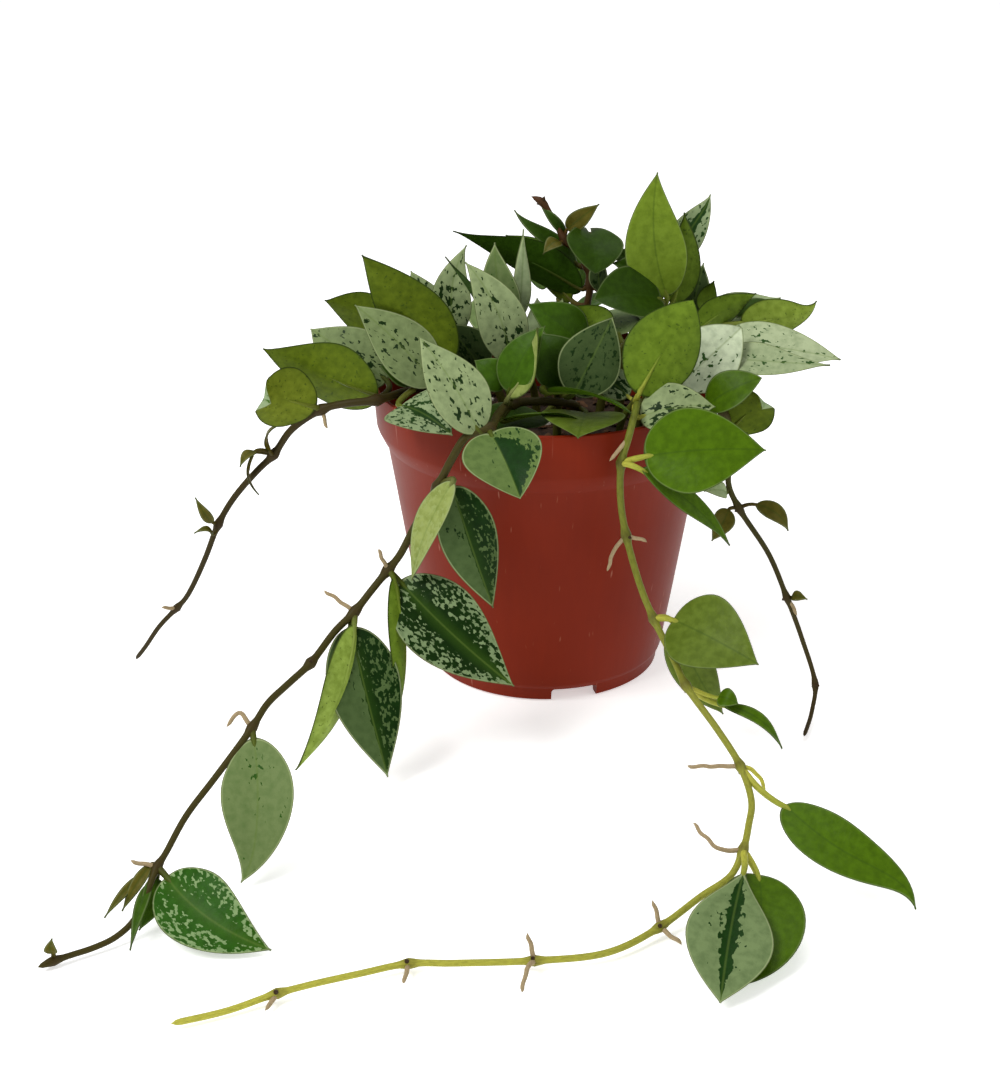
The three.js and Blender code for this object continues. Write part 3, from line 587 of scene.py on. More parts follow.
def rolled(points, radii, colours, sides):
    """A grid rolled into a round rod along points, with a colour for each point. Its ends close to a tip."""
    count = len(points)
    bpy.ops.mesh.primitive_grid_add(x_subdivisions=sides, y_subdivisions=count - 1, size=2)
    rod = bpy.context.object
    co = np.empty(len(rod.data.vertices) * 3)
    rod.data.vertices.foreach_get("co", co)
    co = co.reshape(-1, 3)
    row = np.rint((co[:, 1] + 1) / 2 * (count - 1)).astype(int)
    turn = (co[:, 0] + 1) * math.pi
    heading = unit(np.gradient(points, axis=0))
    across = np.zeros_like(points)
    last = np.array((1.0, 0, 0)) if abs(heading[0][2]) > 0.9 else np.array((0, 0, 1.0))
    for i in range(count):
        last = across[i] = square_to(last, heading[i])
    third = np.cross(heading, across)
    ring = across[row] * np.cos(turn)[:, None] + third[row] * np.sin(turn)[:, None]
    skin = points[row] + ring * np.asarray(radii)[row][:, None]
    rod.data.vertices.foreach_set("co", in_frame(skin).ravel())
    note(rod.data, "bark", "FLOAT_COLOR", np.asarray(colours)[row])
    note(rod.data, "grain", "FLOAT_VECTOR", np.stack([np.cos(turn), np.sin(turn), row * GRAIN_STEP], 1))
    bpy.ops.object.mode_set(mode="EDIT")
    bpy.ops.mesh.select_all(action="SELECT")
    bpy.ops.mesh.remove_doubles(threshold=WELD * MM)
    bpy.ops.mesh.normals_make_consistent(inside=False)
    bpy.ops.object.mode_set(mode="OBJECT")
    return rod


def tapered(count, radius, tip):
    """Radii that close at both ends and thin from radius to tip."""
    share = np.linspace(0, 1, count)
    radii = radius + (tip - radius) * share
    radii[0] = radii[-1] = POINT_RADIUS
    radii[1] *= 0.8
    radii[-2] *= 0.7
    return radii


def stem_of(path, knots, radius, bark):
    """The vine itself: it tapers and changes colour along its length, and swells at each pair of stalks."""
    points, walked = smooth_path(path, STEM_STEP)
    way = np.array(path, float)
    at_knot = [walked[np.argmin(np.linalg.norm(points - way[k], axis=1))] for k in knots]
    near = sum((np.exp(-(((walked - k) / KNOT_LENGTH) ** 2)) for k in at_knot), np.zeros_like(walked))
    near = np.minimum(near, 1)
    sway = np.stack([np.sin(walked / STEM_WAVE + shift) for shift in (0, 2, 4)], 1) * STEM_SWAY
    thick, thin = radius
    radii = (thick + (thin - thick) * walked / walked[-1]) * (1 + KNOT_SWELL * near)
    radii[0] = radii[-1] = POINT_RADIUS
    radii[-2] *= 0.8
    along = (walked / walked[-1])[:, None]
    skin = np.array(paint(bark[0])) * (1 - along) + np.array(paint(bark[1])) * along
    woody = KNOT_WOOD * near[:, None]
    colours = skin * (1 - woody) + np.array(paint(BARK_BROWN)) * woody
    return rolled(points + sway * along, radii, colours, STEM_SIDES)


def stub_of(start, heading):
    """A dry stalk scar, which stands out of a knot."""
    points = start + np.outer(np.linspace(0, STUB_LENGTH, 5), unit(heading))
    colours = np.tile(paint(BARK_BROWN), (5, 1))
    return rolled(points, tapered(5, STUB_RADIUS, STUB_RADIUS / 2), colours, STALK_SIDES)


def root_of(start, *way, tint=ROOT_TAN):
    """A short, wavy aerial root with a blunt end, or a bare stalk."""
    points, walked = smooth_path([start, *way], ROOT_STEP)
    wave = np.sin(walked * 1.1 + leaf_random.uniform(0, 6))[:, None] * np.array(ROOT_WAVE)
    points = points + wave * (walked / walked[-1])[:, None]
    colours = np.tile(paint(tint), (len(points), 1))
    return rolled(points, tapered(len(points), ROOT_RADIUS, ROOT_RADIUS * 0.75), colours, STALK_SIDES)


# The blade that every leaf is copied from: x runs across from -1 to 1, y along from 0 to 1, and z is +1 or -1
# on the upper and lower face at the midrib, closing to 0 at the margin.
bpy.ops.object.select_all(action="DESELECT")
bpy.ops.mesh.primitive_grid_add(x_subdivisions=BLADE_COLUMNS, y_subdivisions=BLADE_ROWS, size=2)
blade = bpy.context.object
bpy.ops.object.mode_set(mode="EDIT")
bpy.ops.mesh.select_all(action="SELECT")
bpy.ops.mesh.duplicate()
bpy.ops.mesh.flip_normals()
bpy.ops.transform.translate(value=(0, 0, -1))
bpy.ops.object.mode_set(mode="OBJECT")
for vertex in blade.data.vertices:
    x, y, z = vertex.co
    across = math.sin(x * math.pi / 2)
    along = 0.5 - 0.5 * math.sin(-y * math.pi / 2)
    close = (1 - across**4) * (1 - y**10)
    vertex.co = (across, along, -close if z < -0.5 else close)
bpy.ops.object.mode_set(mode="EDIT")
bpy.ops.mesh.select_all(action="SELECT")
bpy.ops.mesh.remove_doubles(threshold=0.0001)
bpy.ops.object.mode_set(mode="OBJECT")
for face in blade.data.polygons:
    face.material_index = 0 if face.normal.z > 0 else 1
blade_form = np.array([vertex.co for vertex in blade.data.vertices])
blade.hide_render = True


def outline(along, neck, drawn):
    """Share of the full width at a share of the length. neck narrows its base, drawn narrows its tip."""
    peak = neck / (neck + drawn)
    return (along / peak) ** neck * ((1 - along) / (1 - peak)) ** drawn


def midrib_of(base, tip, face, form):
    """The blade's midrib as a function of the share along it, with its up and side directions and length."""
    base, span = np.array(base, float), np.array(tip, float) - np.array(base, float)
    long = np.linalg.norm(span)
    up = square_to(direction(*face), unit(span))
    side = np.cross(unit(span), up)
    flat = long - ROLL_RADIUS * (form["roll"] > 0)
    walk = flat + ROLL_RADIUS * form["roll"]

    def midrib(t):
        t = np.asarray(t, float)[..., None]
        level = np.minimum(t * walk, flat) / long
        rolled_by = np.maximum(t * walk - flat, 0) / ROLL_RADIUS
        lift = form["arch"] * 4 * t * (1 - t)
        sway = (form["sway"] * 4 + form["tail"] * 12.2 * t**3) * t * (1 - t)
        over = unit(span) * np.sin(rolled_by) - up * (1 - np.cos(rolled_by))
        return base + span * level + up * lift + side * sway + over * ROLL_RADIUS

    return midrib, up, side, walk


def blade_of(midrib, side, long, wide, look, form):
    """A copy of the blade, laid along a midrib and marked with what its material reads."""
    green, silver, spread, stripe, back = LOOKS[look]
    v, t, z = blade_form.T
    fold = math.radians(form["fold"])
    heading = unit(midrib(np.clip(t + 0.02, 0, 1)) - midrib(np.clip(t - 0.02, 0, 1)))
    local_side = square_to(np.broadcast_to(side, heading.shape), heading)
    local_up = np.cross(local_side, heading)
    narrowest = TIP_HALF_WIDE + BASE_HALF_WIDE * (1 - t) ** 8
    half = np.maximum(outline(t, form["neck"], form["drawn"]) * wide / 2, narrowest)
    valley = (np.sqrt(v * v + 0.02) - 0.141) * math.sin(fold)
    ripple = form["wave"] * np.sin(t * 7 + leaf_random.uniform(0, 6)) * v * v
    lift = half * (valley + form["cup"] * v * v) + ripple
    thick = z * BLADE_HALF_THICK * (1 - 0.35 * t)
    back_set = form["lobe"] * wide * v * v * np.exp(-((t / LOBE_REACH) ** 2))
    co = midrib(t) + local_side * (v * half * math.cos(fold))[:, None]
    co += local_up * (lift + thick)[:, None] - heading * back_set[:, None]
    leaf = blade.copy()
    leaf.data = blade.data.copy()
    leaf.hide_render = False
    bpy.context.collection.objects.link(leaf)
    leaf.data.vertices.foreach_set("co", in_frame(co).ravel())
    seed = np.full_like(t, leaf_random.uniform(0, 90))
    shade = leaf_random.uniform(0.9, 1.1)
    tint = np.where((z < -0.001)[:, None], paint(back), paint(green)) * (shade, shade, shade, 1)
    splash = [np.where(v < 0, *np.broadcast_to(halves, 2)) for halves in (spread, stripe)]
    splash.append(np.full_like(t, FRESH_RIBS.get(look, 0)))
    note(leaf.data, "tint", "FLOAT_COLOR", tint)
    note(leaf.data, "silver", "FLOAT_COLOR", np.tile(paint(silver), (len(v), 1)))
    note(leaf.data, "place", "FLOAT_VECTOR", np.stack([v * half, t * long, seed], 1))
    note(leaf.data, "form", "FLOAT_VECTOR", np.stack([v, t, half * (1 - np.abs(v))], 1))
    note(leaf.data, "splash", "FLOAT_VECTOR", np.stack(splash, 1))
    return leaf


def leaf_of(start, bark, base, tip, wide, face, look, extra):
    """A stalk from the stem, and its blade."""
    own = {"cup": leaf_random.uniform(*CUPPED), "wave": leaf_random.uniform(*WAVED)}
    form = USUAL_FORM | own | extra
    midrib, up, side, long = midrib_of(base, tip, face, form)
    small = long < SMALL_LEAF
    thick = SMALL_STALK_RADIUS if small else STALK_RADIUS
    if small:
        form["wave"] *= 0.4
    base = midrib(0)
    first = unit(midrib(0.05) - base)
    bend = base - first * 0.5 * np.linalg.norm(base - start) - np.array((0, 0, form["sag"]))
    share = np.linspace(0, 1, STALK_POINTS)[:, None]
    stalk = (1 - share) ** 2 * start + 2 * share * (1 - share) * bend + share**2 * base
    rib = midrib(np.linspace(*RIB_REACH, RIB_POINTS)) - up * BLADE_HALF_THICK * RIB_SUNK
    points = np.concatenate([stalk, rib])
    stalk_radii = np.linspace(thick * STALK_FLARE, thick, STALK_POINTS)
    radii = np.concatenate([stalk_radii, np.linspace(thick * 0.8, RIB_END_RADIUS, RIB_POINTS)])
    radii[0] = radii[-1] = POINT_RADIUS
    stem_colour, leaf_colour = np.array(paint(bark)), np.array(paint(LOOKS[look][4]))
    share = np.linspace(0, 1, len(points))[:, None]
    rod = rolled(points, radii, stem_colour * (1 - share) + leaf_colour * share, STALK_SIDES)
    return rod, blade_of(midrib, side, long, wide, look, form)


def noted(shader, name, output):
    """What the pieces are marked with under a name."""
    return add(shader, "Attribute", {}, attribute_name=name).outputs[output]


def split(shader, vector):
    """The three values in a vector."""
    return [Level(shader, part) for part in add(shader, "SeparateXYZ", {0: vector}).outputs]


def vine_bark():
    """Stem skin: green to brown, streaked along the vine, woody brown at the knots, with a fine bump all
    over.
    """
    material, shader = new_material("vine_bark", 0.5, gloss=0.12)
    bark = noted(shader, "bark", "Color")
    streak = noise_of(shader, noted(shader, "grain", "Vector"), 2.2, 4.0)
    fine = noise_of(shader, add(shader, "TexCoord", {}).outputs["Object"], 1500.0, 3.0)
    dark = blend_of(shader, 0.5, bark, paint(STREAK_BROWN))
    colour = blend_of(shader, streak.steep(0.42, 2.2), bark, dark)
    finish_with(shader, Base_Color=colour, Normal=raised(shader, fine, 0.35, 0.0003))
    return material


def leaf_notes(shader):
    """A blade's marks: place in mm, tint, share across and along, and the way to the margin and midrib."""
    place = noted(shader, "place", "Vector")
    across, along, margin = split(shader, noted(shader, "form", "Vector"))
    return place, noted(shader, "tint", "Color"), abs(across), along, margin, abs(split(shader, place)[0])


def silver_of(shader, place, spread, stripe, across, along, beside):
    """Where the upper side is silver, as a share: splashes or dots that thin out towards a bare midrib."""
    scale = SPOT_SCALE - (spread > DOTTED_FROM) * DOT_GROWTH
    spots = noise_of(shader, stretched(shader, place, SPOT_STRETCH), scale, 3.0)
    clusters = noise_of(shader, place, CLUSTER_SCALE, 1.0)
    level = spots + clusters * CLUSTER_SHARE - CLUSTER_SHARE / 2
    stripe_here = stripe * (along * (1.0 - along) * 4.4) ** 1.5
    bare = (beside / (stripe_here + 0.001)).rise(1.5, 0.3) * ((stripe > 0.01) * 0.45)
    reach = spread + (across - 0.5) * 0.1 + (along - 0.5) * 0.06 - bare
    return reach.steep(level, SILVER_EDGE)


def skin_of(shader, across, along, place):
    """Bump of the skin: dents and grain, with faint side veins that run out and forward from the midrib."""
    phase = (along * SIDE_VEINS - across) * math.pi
    vein = abs(phase.sine()).rise(0.25, 0.0) * -0.1
    dents = noise_of(shader, place, 0.35, 2.0) * 1.6
    grain = noise_of(shader, place, 2.4, 3.0) * 0.5
    return raised(shader, vein + (dents + grain), 0.3, 0.0004)


def leaf_upper():
    """Upper side: waxy green under silver splashes, with a thin rib, a pale rim and a dark edge line, partly
    painted shade.
    """
    material, shader = new_material("leaf_upper", 0.42, gloss=0.07)
    place, tint, across, along, margin, beside = leaf_notes(shader)
    spread, stripe, fresh = split(shader, noted(shader, "splash", "Vector"))
    silver = silver_of(shader, place, spread, stripe, across, along, beside)
    cloud = noise_of(shader, place, CLOUD_SCALE, CLOUD_DETAIL)
    deep = blend_of(shader, 1.0, tint, paint(TOP_SHADE), mode="MULTIPLY")
    green = blend_of(shader, cloud.rise(0.35, 0.65), deep, tint)
    green = blend_of(shader, beside.rise(3.5, 0.5) * fresh, green, paint(FRESH_GREEN))
    pale = blend_of(shader, cloud.rise(0.4, 0.7) * 0.3, noted(shader, "silver", "Color"), green)
    colour = blend_of(shader, silver, green, pale)
    rib = blend_of(shader, spread > 0.3, paint(RIB_GREEN), paint(RIB_PALE))
    colour = blend_of(shader, beside.rise(0.5, 0.1) * 0.35, colour, rib)
    colour = blend_of(shader, margin.rise(0.7, 0.35) * (spread + 0.1), colour, paint(RIM_PALE))
    # Dark edge line: partly the leaf's own thin dark edge, partly painted shade where the margin turns away.
    colour = blend_of(shader, margin.rise(0.35, 0.12) * 0.75, colour, paint(EDGE_LINE_AND_SHADE_GREEN))
    skin = skin_of(shader, across, along, place)
    finish_with(shader, Base_Color=colour, Roughness=silver * 0.14 + 0.38, Normal=skin)
    return material


def leaf_underside():
    """Underside: plain mottled green, painted shade at the margin, a darker rib near the base, an edge line,
    a few dark pores.
    """
    material, shader = new_material("leaf_underside", 0.5, gloss=0.07)
    place, tint, across, along, margin, beside = leaf_notes(shader)
    cloud = noise_of(shader, place, CLOUD_SCALE, CLOUD_DETAIL)
    pores = noise_of(shader, place, 1.1, 0.0).rise(0.74, 0.8)
    deep = blend_of(shader, 1.0, tint, paint(BACK_SHADE), mode="MULTIPLY")
    colour = blend_of(shader, cloud.rise(0.33, 0.67), deep, tint)
    # Painted shade: the blade darkens towards its margin, where it curves back.
    colour = blend_of(shader, across**4.0 * 0.35, colour, paint(RIB_GREEN))
    colour = blend_of(shader, pores * 0.6, colour, paint(PORE_GREEN))
    rib = beside.rise(0.7, 0.2) * along.rise(0.7, 0.1)
    colour = blend_of(shader, rib * 0.45, colour, paint(BACK_RIB_GREEN))
    # Edge line: partly the leaf's own dark edge, partly painted shade at the margin.
    colour = blend_of(shader, margin.rise(0.6, 0.2) * 0.8, colour, paint(BACK_EDGE_LINE_AND_SHADE_GREEN))
    finish_with(shader, Base_Color=colour, Normal=skin_of(shader, across, along, place))
    return material


BARK = vine_bark()
blade.data.materials.append(leaf_upper())
blade.data.materials.append(leaf_underside())


def grow(node, radius, foot, path, knots, leaves, bark=CROWN_BARK, roots=(), bare_stalks=()):
    """One leafy stem: its vine, stalks and aerial roots are one piece, its blades another.

    The stem rises straight from its foot in the mix, then follows its path. Knots, leaves and roots give
    the point of the stem that they grow at, and points 0 and 1 are the foot's.
    """
    path = [(*foot, height) for height in FOOT_HEIGHTS] + path
    rods = [stem_of(path, knots, radius, bark)]
    blades = []
    way = np.array(path, float)
    leafy = {row[0] for row in leaves}
    for k in knots:
        along = unit(way[min(k + 1, len(way) - 1)] - way[k - 1])
        across = square_to(np.array((0.3, -0.5, 1.0)), along)
        for turn in (1, -1) if k not in leafy else (-1,):
            rods.append(stub_of(way[k], across * turn + along * 0.4))
    for at, base, tip, wide, face, look, *extra in leaves:
        rod, leaf = leaf_of(way[at], bark[1], base, tip, wide, face, look, extra[0] if extra else {})
        rods.append(rod)
        blades.append(leaf)
    for at, *line in roots:
        rods.append(root_of(way[at], *line))
    for at, *line in bare_stalks:
        rods.append(root_of(way[at], *line, tint=bark[1]))
    name = node.removeprefix("stem_")
    vine = joined("vine_" + name, rods)
    vine.data.materials.append(BARK)
    foliage = joined("leaves_" + name, blades)
    for piece in (vine, foliage):
        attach(piece, "root")
        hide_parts(node)


grow(
    "stem_trailing_left",
    bark=("#3a3312", "#332b10"),
    radius=(1.7, 0.8),
    foot=(-31, 6),
    path=[
        (-38, -1, 105), (-48, -19, 110.5), (-59, -33.5, 112), (-70, -34.5, 111), (-78, -32, 108),
        (-89, -30, 100), (-96, -28, 90), (-102, -28, 84), (-111, -27, 73), (-117, -27, 63), (-123, -26, 49),
        (-131, -24, 33), (-135, -23, 28), (-142, -22, 20), (-148, -20, 11), (-153, -17, 4),
    ],
    knots=[4, 6, 8, 11, 14],
    leaves=[
        (4, (-60, -30, 113), (-98, -25, 128), 27, (90, 20), "olive_back", {"arch": 1, "sway": 1.5}),
        (4, (-57, -22, 116), (-83, -9, 130), 23, (-90, 45), "silver_in_shade", {"sway": -1}),
        (6, (-81, -34, 110), (-96, -46, 117), 23, (90, -5), "olive_light", {"drawn": 0.85, "roll": 2.5}),
        (8, (-97, -31, 93), (-93, -31, 102), 7, (180, 20), "young"),
        (8, (-102, -31, 92), (-107, -35, 88), 4, (-90, 60), "young"),
        (8, (-103, -31, 91), (-101, -34, 77), 6, (180, 10), "young"),
        (11, (-119, -29.4, 65), (-124, -31, 75), 4, (-90, 20), "young"),
        (11, (-119, -30, 60.6), (-125, -33, 62), 3, (-90, 60), "young"),
    ],
    roots=[(6, (-76, -35, 102)), (14, (-140, -27, 30))],
)

# Trailing stem, front left: the leafiest vine. It leaves the rim, arches down past the pot and lies down at
# its brown tip, with pairs of splashed leaves hanging at its knots.
grow(
    "stem_trailing_front_left",
    bark=("#3e3a16", "#3c360e"),
    radius=(1.6, 0.9),
    foot=(14, -20),
    path=[
        (11, -26, 106), (3, -36, 112), (-12, -40, 113), (-17, -54, 114), (-20, -65, 113), (-27, -69, 112),
        (-32, -71, 105), (-37, -71, 95), (-45, -70, 80), (-50, -73, 71), (-54, -74, 66), (-59, -78, 61),
        (-65, -83, 55), (-71, -89, 51), (-78, -105, 47), (-84, -115, 45), (-90, -125, 43), (-94, -135, 40),
        (-105, -149, 29), (-112, -160, 23), (-117, -171, 17), (-119, -175, 15), (-124, -189, 6),
        (-129, -194, 3), (-135, -198, 2), (-140, -201, 2), (-145, -204, 2), (-149, -207, 2),
    ],
    knots=[4, 6, 9, 12, 14, 16, 19, 23, 28],
    leaves=[
        (2, (13, -40, 109), (9, -72, 112), 29, (-90, 86), "matt", {"arch": 1}),
        (4, (-15, -39, 119), (-25, -36, 127), 12, (-90, 40), "green"),
        (4, (-13, -43, 119), (-1, -39, 140), 17, (-130, 20), "green"),
        (4, (-13, -47, 118), (-4, -44, 141), 13, (20, 10), "strip"),
        (4, (-14, -49, 110), (12, -52, 110), 15, (90, 68), "bright"),
        (6, (-24, -68, 114), (-43, -54, 141), 22, (-60, 30), "silver_dots"),
        (6, (-19, -70, 112), (-10, -92, 99), 27, (-90, 50), "band_right", {"drawn": 0.95}),
        (9, (-32, -76, 98), (-46, -78, 64), 13, (-140, 5), "strip"),
        (9, (-32, -74, 95), (-19, -76, 53), 20, (-80, 20), "half_left", {"sway": 0.5}),
        (12, (-52, -77, 64), (-52, -96, 19), 11, (150, -5), "light_back", {"arch": -3}),
        (12, (-49, -75, 61), (-12, -91, 31), 28, (-90, 40), "splash", {"sway": 1.5}),
        (14, (-65, -87, 51), (-84, -110, 10), 16, (145, -5), "strip_green", {"arch": -5}),
        (14, (-66, -86, 49), (-54, -106, 5), 25, (-80, 30), "half_left", {"sway": 0.5}),
        (19, (-93, -139, 37), (-96, -164, 2), 23, (-90, 30), "silver_green",
         {"sway": -3, "tail": -1, "neck": 0.7}),
        (23, (-115, -179, 13), (-83, -199, 2), 23, (-90, 48), "splash_fresh", {"sway": 3}),
        (23, (-119, -176, 11), (-123, -189, 2), 8, (-60, 30), "green"),
        (23, (-121, -174, 15), (-129, -182, 4), 4, (-90, 40), "young"),
        (23, (-121, -177, 11), (-124, -199, 2), 4, (-90, 40), "green"),
        (23, (-124, -175, 12), (-134, -184, 3), 3, (-90, 40), "young"),
        (28, (-145, -204, 5), (-145, -203, 9), 4, (-90, 0), "young"),
    ],
    roots=[
        (12, (-57, -77, 75)), (14, (-75, -81, 62)), (19, (-98, -133, 44), (-102, -135, 40)),
        (23, (-127, -175, 17)),
    ],
)

# Trailing stem, front right: a younger, yellow-green vine with plain green leaves and many aerial roots. Its
# long end lies bare along the surface, across the front of the pot.
grow(
    "stem_trailing_front_right",
    bark=("#4d5a1a", "#b3b045"),
    radius=(1.25, 0.95),
    foot=(24, -34),
    path=[
        (26, -36, 106), (30, -42, 114), (28, -58, 114), (26, -64, 109), (24, -63, 100), (24, -64, 87),
        (26, -66, 75), (31, -71, 58), (35, -79, 50), (41, -94, 42), (44, -104, 38), (53, -119, 30),
        (59, -134, 25), (61, -149, 21), (59, -159, 19), (56, -170, 17), (52, -176, 12), (43, -181, 8),
        (30, -191, 4), (14, -202, 3), (-7, -206, 3), (-30, -207, 3), (-43, -207, 3), (-57, -212, 3),
        (-79, -221, 3), (-92, -227, 2), (-107, -233, 2),
    ],
    knots=[3, 6, 8, 10, 12, 14, 17, 20, 22, 24, 26],
    leaves=[
        (3, (31, -47, 120), (48, -42, 150), 26, (90, -10), "light_back", {"arch": 1.5, "drawn": 0.9}),
        (3, (32, -51, 112), (56, -50, 115), 20, (-90, 55), "silver_dots"),
        (3, (27, -38, 115), (15, -27, 120), 12, (-90, 40), "splash_pale"),
        (6, (33, -67, 104), (71, -70, 107), 29, (-90, 24), "bright", {"sway": -1}),
        (6, (31, -68, 99), (61, -66, 71), 12, (-60, 60), "bright"),
        (10, (42, -85, 52), (67, -107, 47), 27, (-90, 35), "matt"),
        (10, (43, -75, 45), (60, -78, 13), 17, (-120, 20), "matt"),
        (12, (55, -105, 34), (61, -108, 33), 7, (-90, 40), "bright"),
        (12, (57, -103, 30), (76, -109, 17), 5, (-90, 60), "bright", {"arch": 6}),
        (14, (71, -154, 22), (107, -181, 3), 18, (-100, 60), "bright", {"sway": 2, "tail": -4, "sag": 4}),
        (17, (55, -181, 16), (44, -226, 3), 26, (-80, 60), "silver_stripe",
         {"sway": 1, "neck": 1.5, "drawn": 1.1}),
        (17, (60, -178, 12), (48, -217, 2), 27, (-80, 60), "bright", {"sway": -3, "drawn": 0.8}),
    ],
    roots=[
        (5, (20, -66, 102)), (8, (22, -67, 70), (20, -66, 62)), (8, (33, -69, 74)),
        (14, (51, -134, 25), (42, -134, 25)), (17, (49, -171, 18), (41, -166, 24)), (20, (36, -197, 2)),
        (20, (28, -187, 11)), (22, (-9, -205, 12)), (22, (-9, -212, 5), (-11, -220, 2)),
        (24, (-44, -215, 2)), (26, (-82, -227, 1.5)),
    ],
    bare_stalks=[(14, (63, -135, 24), (67, -138, 19))],
)

# Trailing stem, right: a thin brown vine that drops beside the pot to the surface, with one cupped leaf near
# the rim and small young leaves below it.
grow(
    "stem_trailing_right",
    bark=("#464a1c", "#382c12"),
    radius=(1.25, 0.75),
    foot=(36, -20),
    path=[
        (41, -25, 106), (51, -36, 112.5), (60, -39, 109), (64, -38, 98), (63, -39, 83), (67, -40, 74),
        (78, -41, 57), (85, -43, 41), (91, -45, 26), (96, -50, 10), (94, -58, 4), (89, -74, 2),
    ],
    knots=[4, 7, 9, 11],
    leaves=[
        (4, (63, -39, 103), (73, -46, 115), 19, (90, 0), "olive_back", {"drawn": 0.9, "roll": 2.3}),
        (3, (55, -40, 112), (72, -44, 123), 15, (-90, 50), "bright", {"drawn": 0.9}),
        (7, (63, -42, 74), (57, -48, 65), 8, (-90, 20), "young"),
        (7, (73, -42, 76), (84, -44, 67), 7, (-60, 20), "young", {"sway": -1}),
        (6, (62, -41, 80), (54, -44, 82), 6, (-90, 40), "silver_plain"),
        (9, (87, -43, 41), (92, -45, 41), 4, (-90, 40), "young"),
    ],
    roots=[(9, (89, -45, 35))],
)

# Upright stem: a dark shoot in the middle of the crown, with one long dark leaf, a heart-shaped one and young
# leaves at its tip.
grow(
    "stem_upright",
    bark=("#3d3016", "#4a2c12"),
    radius=(1.8, 0.9),
    foot=(10, 14),
    path=[
        (12, 11, 114), (15, 8, 133), (16, 9, 141), (15, 10, 147), (10, 12, 153), (7, 12, 156), (3, 14, 163),
        (-1, 15, 169), (-5, 16, 171),
    ],
    knots=[4, 5, 7, 9],
    leaves=[
        (4, (12, 10, 139), (-33, 14, 159), 21, (90, 35), "dark", {"drawn": 1.5}),
        (5, (11, 14, 147), (-11, 20, 165), 8, (-90, 60), "dark", {"sway": -1.5, "tail": -1}),
        (6, (16, 9, 159), (17, -7, 149), 21, (-70, 60), "dark", {"drawn": 0.8, "lobe": 0.28}),
        (7, (7, 14, 158), (-2, 16, 168), 4, (-90, 20), "dark"),
        (7, (5, 9, 156), (-1, 4, 153), 6, (-90, 50), "young"),
        (7, (8, 13, 160), (19, 12, 169), 7, (-90, 20), "young"),
        (4, (20, 3, 140), (20, 3, 155), 8, (-120, 10), "silver_in_deep_shade"),
        (3, (9, 14, 134), (-9, 20, 145), 15, (90, 35), "olive_back"),
    ],
)

# Crown stems: seven short, green-barked shoots that fill the top of the pot, each with its own kind of leaf.
# Left: four leaves over the rim, the largest seen from its olive underside.
grow(
    "stem_crown_left",
    radius=(1.7, 1.3),
    foot=(-24, -14),
    path=[(-28, -16, 106), (-34, -19, 114), (-44, -29, 116)],
    knots=[3, 4],
    leaves=[
        (3, (-35, -23, 122), (-63, -26, 161), 24, (90, 10), "olive_back"),
        (3, (-40, -27, 117), (-66, -24, 143), 22, (-90, 50), "silver_in_shade"),
        (4, (-47, -29, 117), (-58, -27, 122), 10, (-90, 50), "dark"),
        (4, (-50, -43, 113), (-32, -66, 111), 23, (-90, 58), "splash_pale"),
    ],
)

# Crown stem, left rear: silver-dotted leaves behind the left of the crown.
grow(
    "stem_crown_left_rear",
    radius=(1.7, 1.2),
    foot=(-14, -4),
    path=[(-17, -6, 106), (-21, -7, 113), (-33, -2, 119), (-49, 2, 120)],
    knots=[3, 4, 5],
    leaves=[
        (3, (-17, -11, 120), (-35, -13, 157), 14, (22, 25), "silver_in_deep_shade", {"tail": 2}),
        (3, (-23, -10, 116), (-36, -9, 132), 18, (-90, 30), "silver_in_deep_shade"),
        (4, (-32, -1, 126), (-28, 6, 156), 15, (-95, 15), "silver_dots", {"sway": -3, "drawn": 1.3}),
        (4, (-38, 4, 124), (-48, 8, 146), 16, (-90, 30), "silver_dots"),
        (5, (-57, 3, 125), (-79, 6, 136), 20, (90, 20), "olive_back"),
        (5, (-55, 8, 119), (-81, 30, 114), 23, (140, 60), "silver_dots"),
    ],
)

# Crown stem, middle: upright silver leaves in the middle of the crown.
grow(
    "stem_crown_middle",
    radius=(1.6, 1.2),
    foot=(-3, 4),
    path=[(-5, -2, 108), (-9, -10, 118), (-9, -3, 127)],
    knots=[3, 4],
    leaves=[
        (3, (-13, -22, 123), (-28, -20, 157), 18, (-80, 20), "silver_dots", {"sway": 2.5}),
        (4, (-13, -4, 131), (-18, -2, 159), 14, (-90, 20), "silver_green", {"sway": -1.5}),
        (4, (-10, -3, 131), (-8, 1, 163), 8, (-60, 10), "silver_plain", {"sway": -1, "drawn": 1.3}),
        (3, (-2, -5, 122), (-3, 4, 137), 10, (-90, 20), "silver_plain"),
        (3, (1, -8, 121), (6, 3, 137), 11, (-90, 20), "silver_plain"),
    ],
)

# Crown stem, front: the short-stalked green leaves that fill the front of the pot.
grow(
    "stem_crown_front",
    radius=(1.7, 1.3),
    foot=(4, -14),
    path=[(4, -20, 108), (3, -30, 119), (11, -18, 122)],
    knots=[3, 4],
    leaves=[
        (3, (8, -36, 119), (-3, -30, 135), 20, (-100, 40), "dark"),
        (2, (-3, -27, 104), (-25, -49, 104), 22, (-110, 70), "dark"),
        (4, (12, -18, 127), (-7, -17, 141), 18, (-90, 50), "green"),
        (4, (20, -14, 127), (8, -9, 138), 17, (90, 0), "light_back"),
        (3, (9, -42, 118), (22, -29, 140), 22, (-80, 30), "silver_in_deep_shade"),
        (3, (1, -46, 119), (27, -62, 117), 18, (90, 62), "green"),
    ],
)

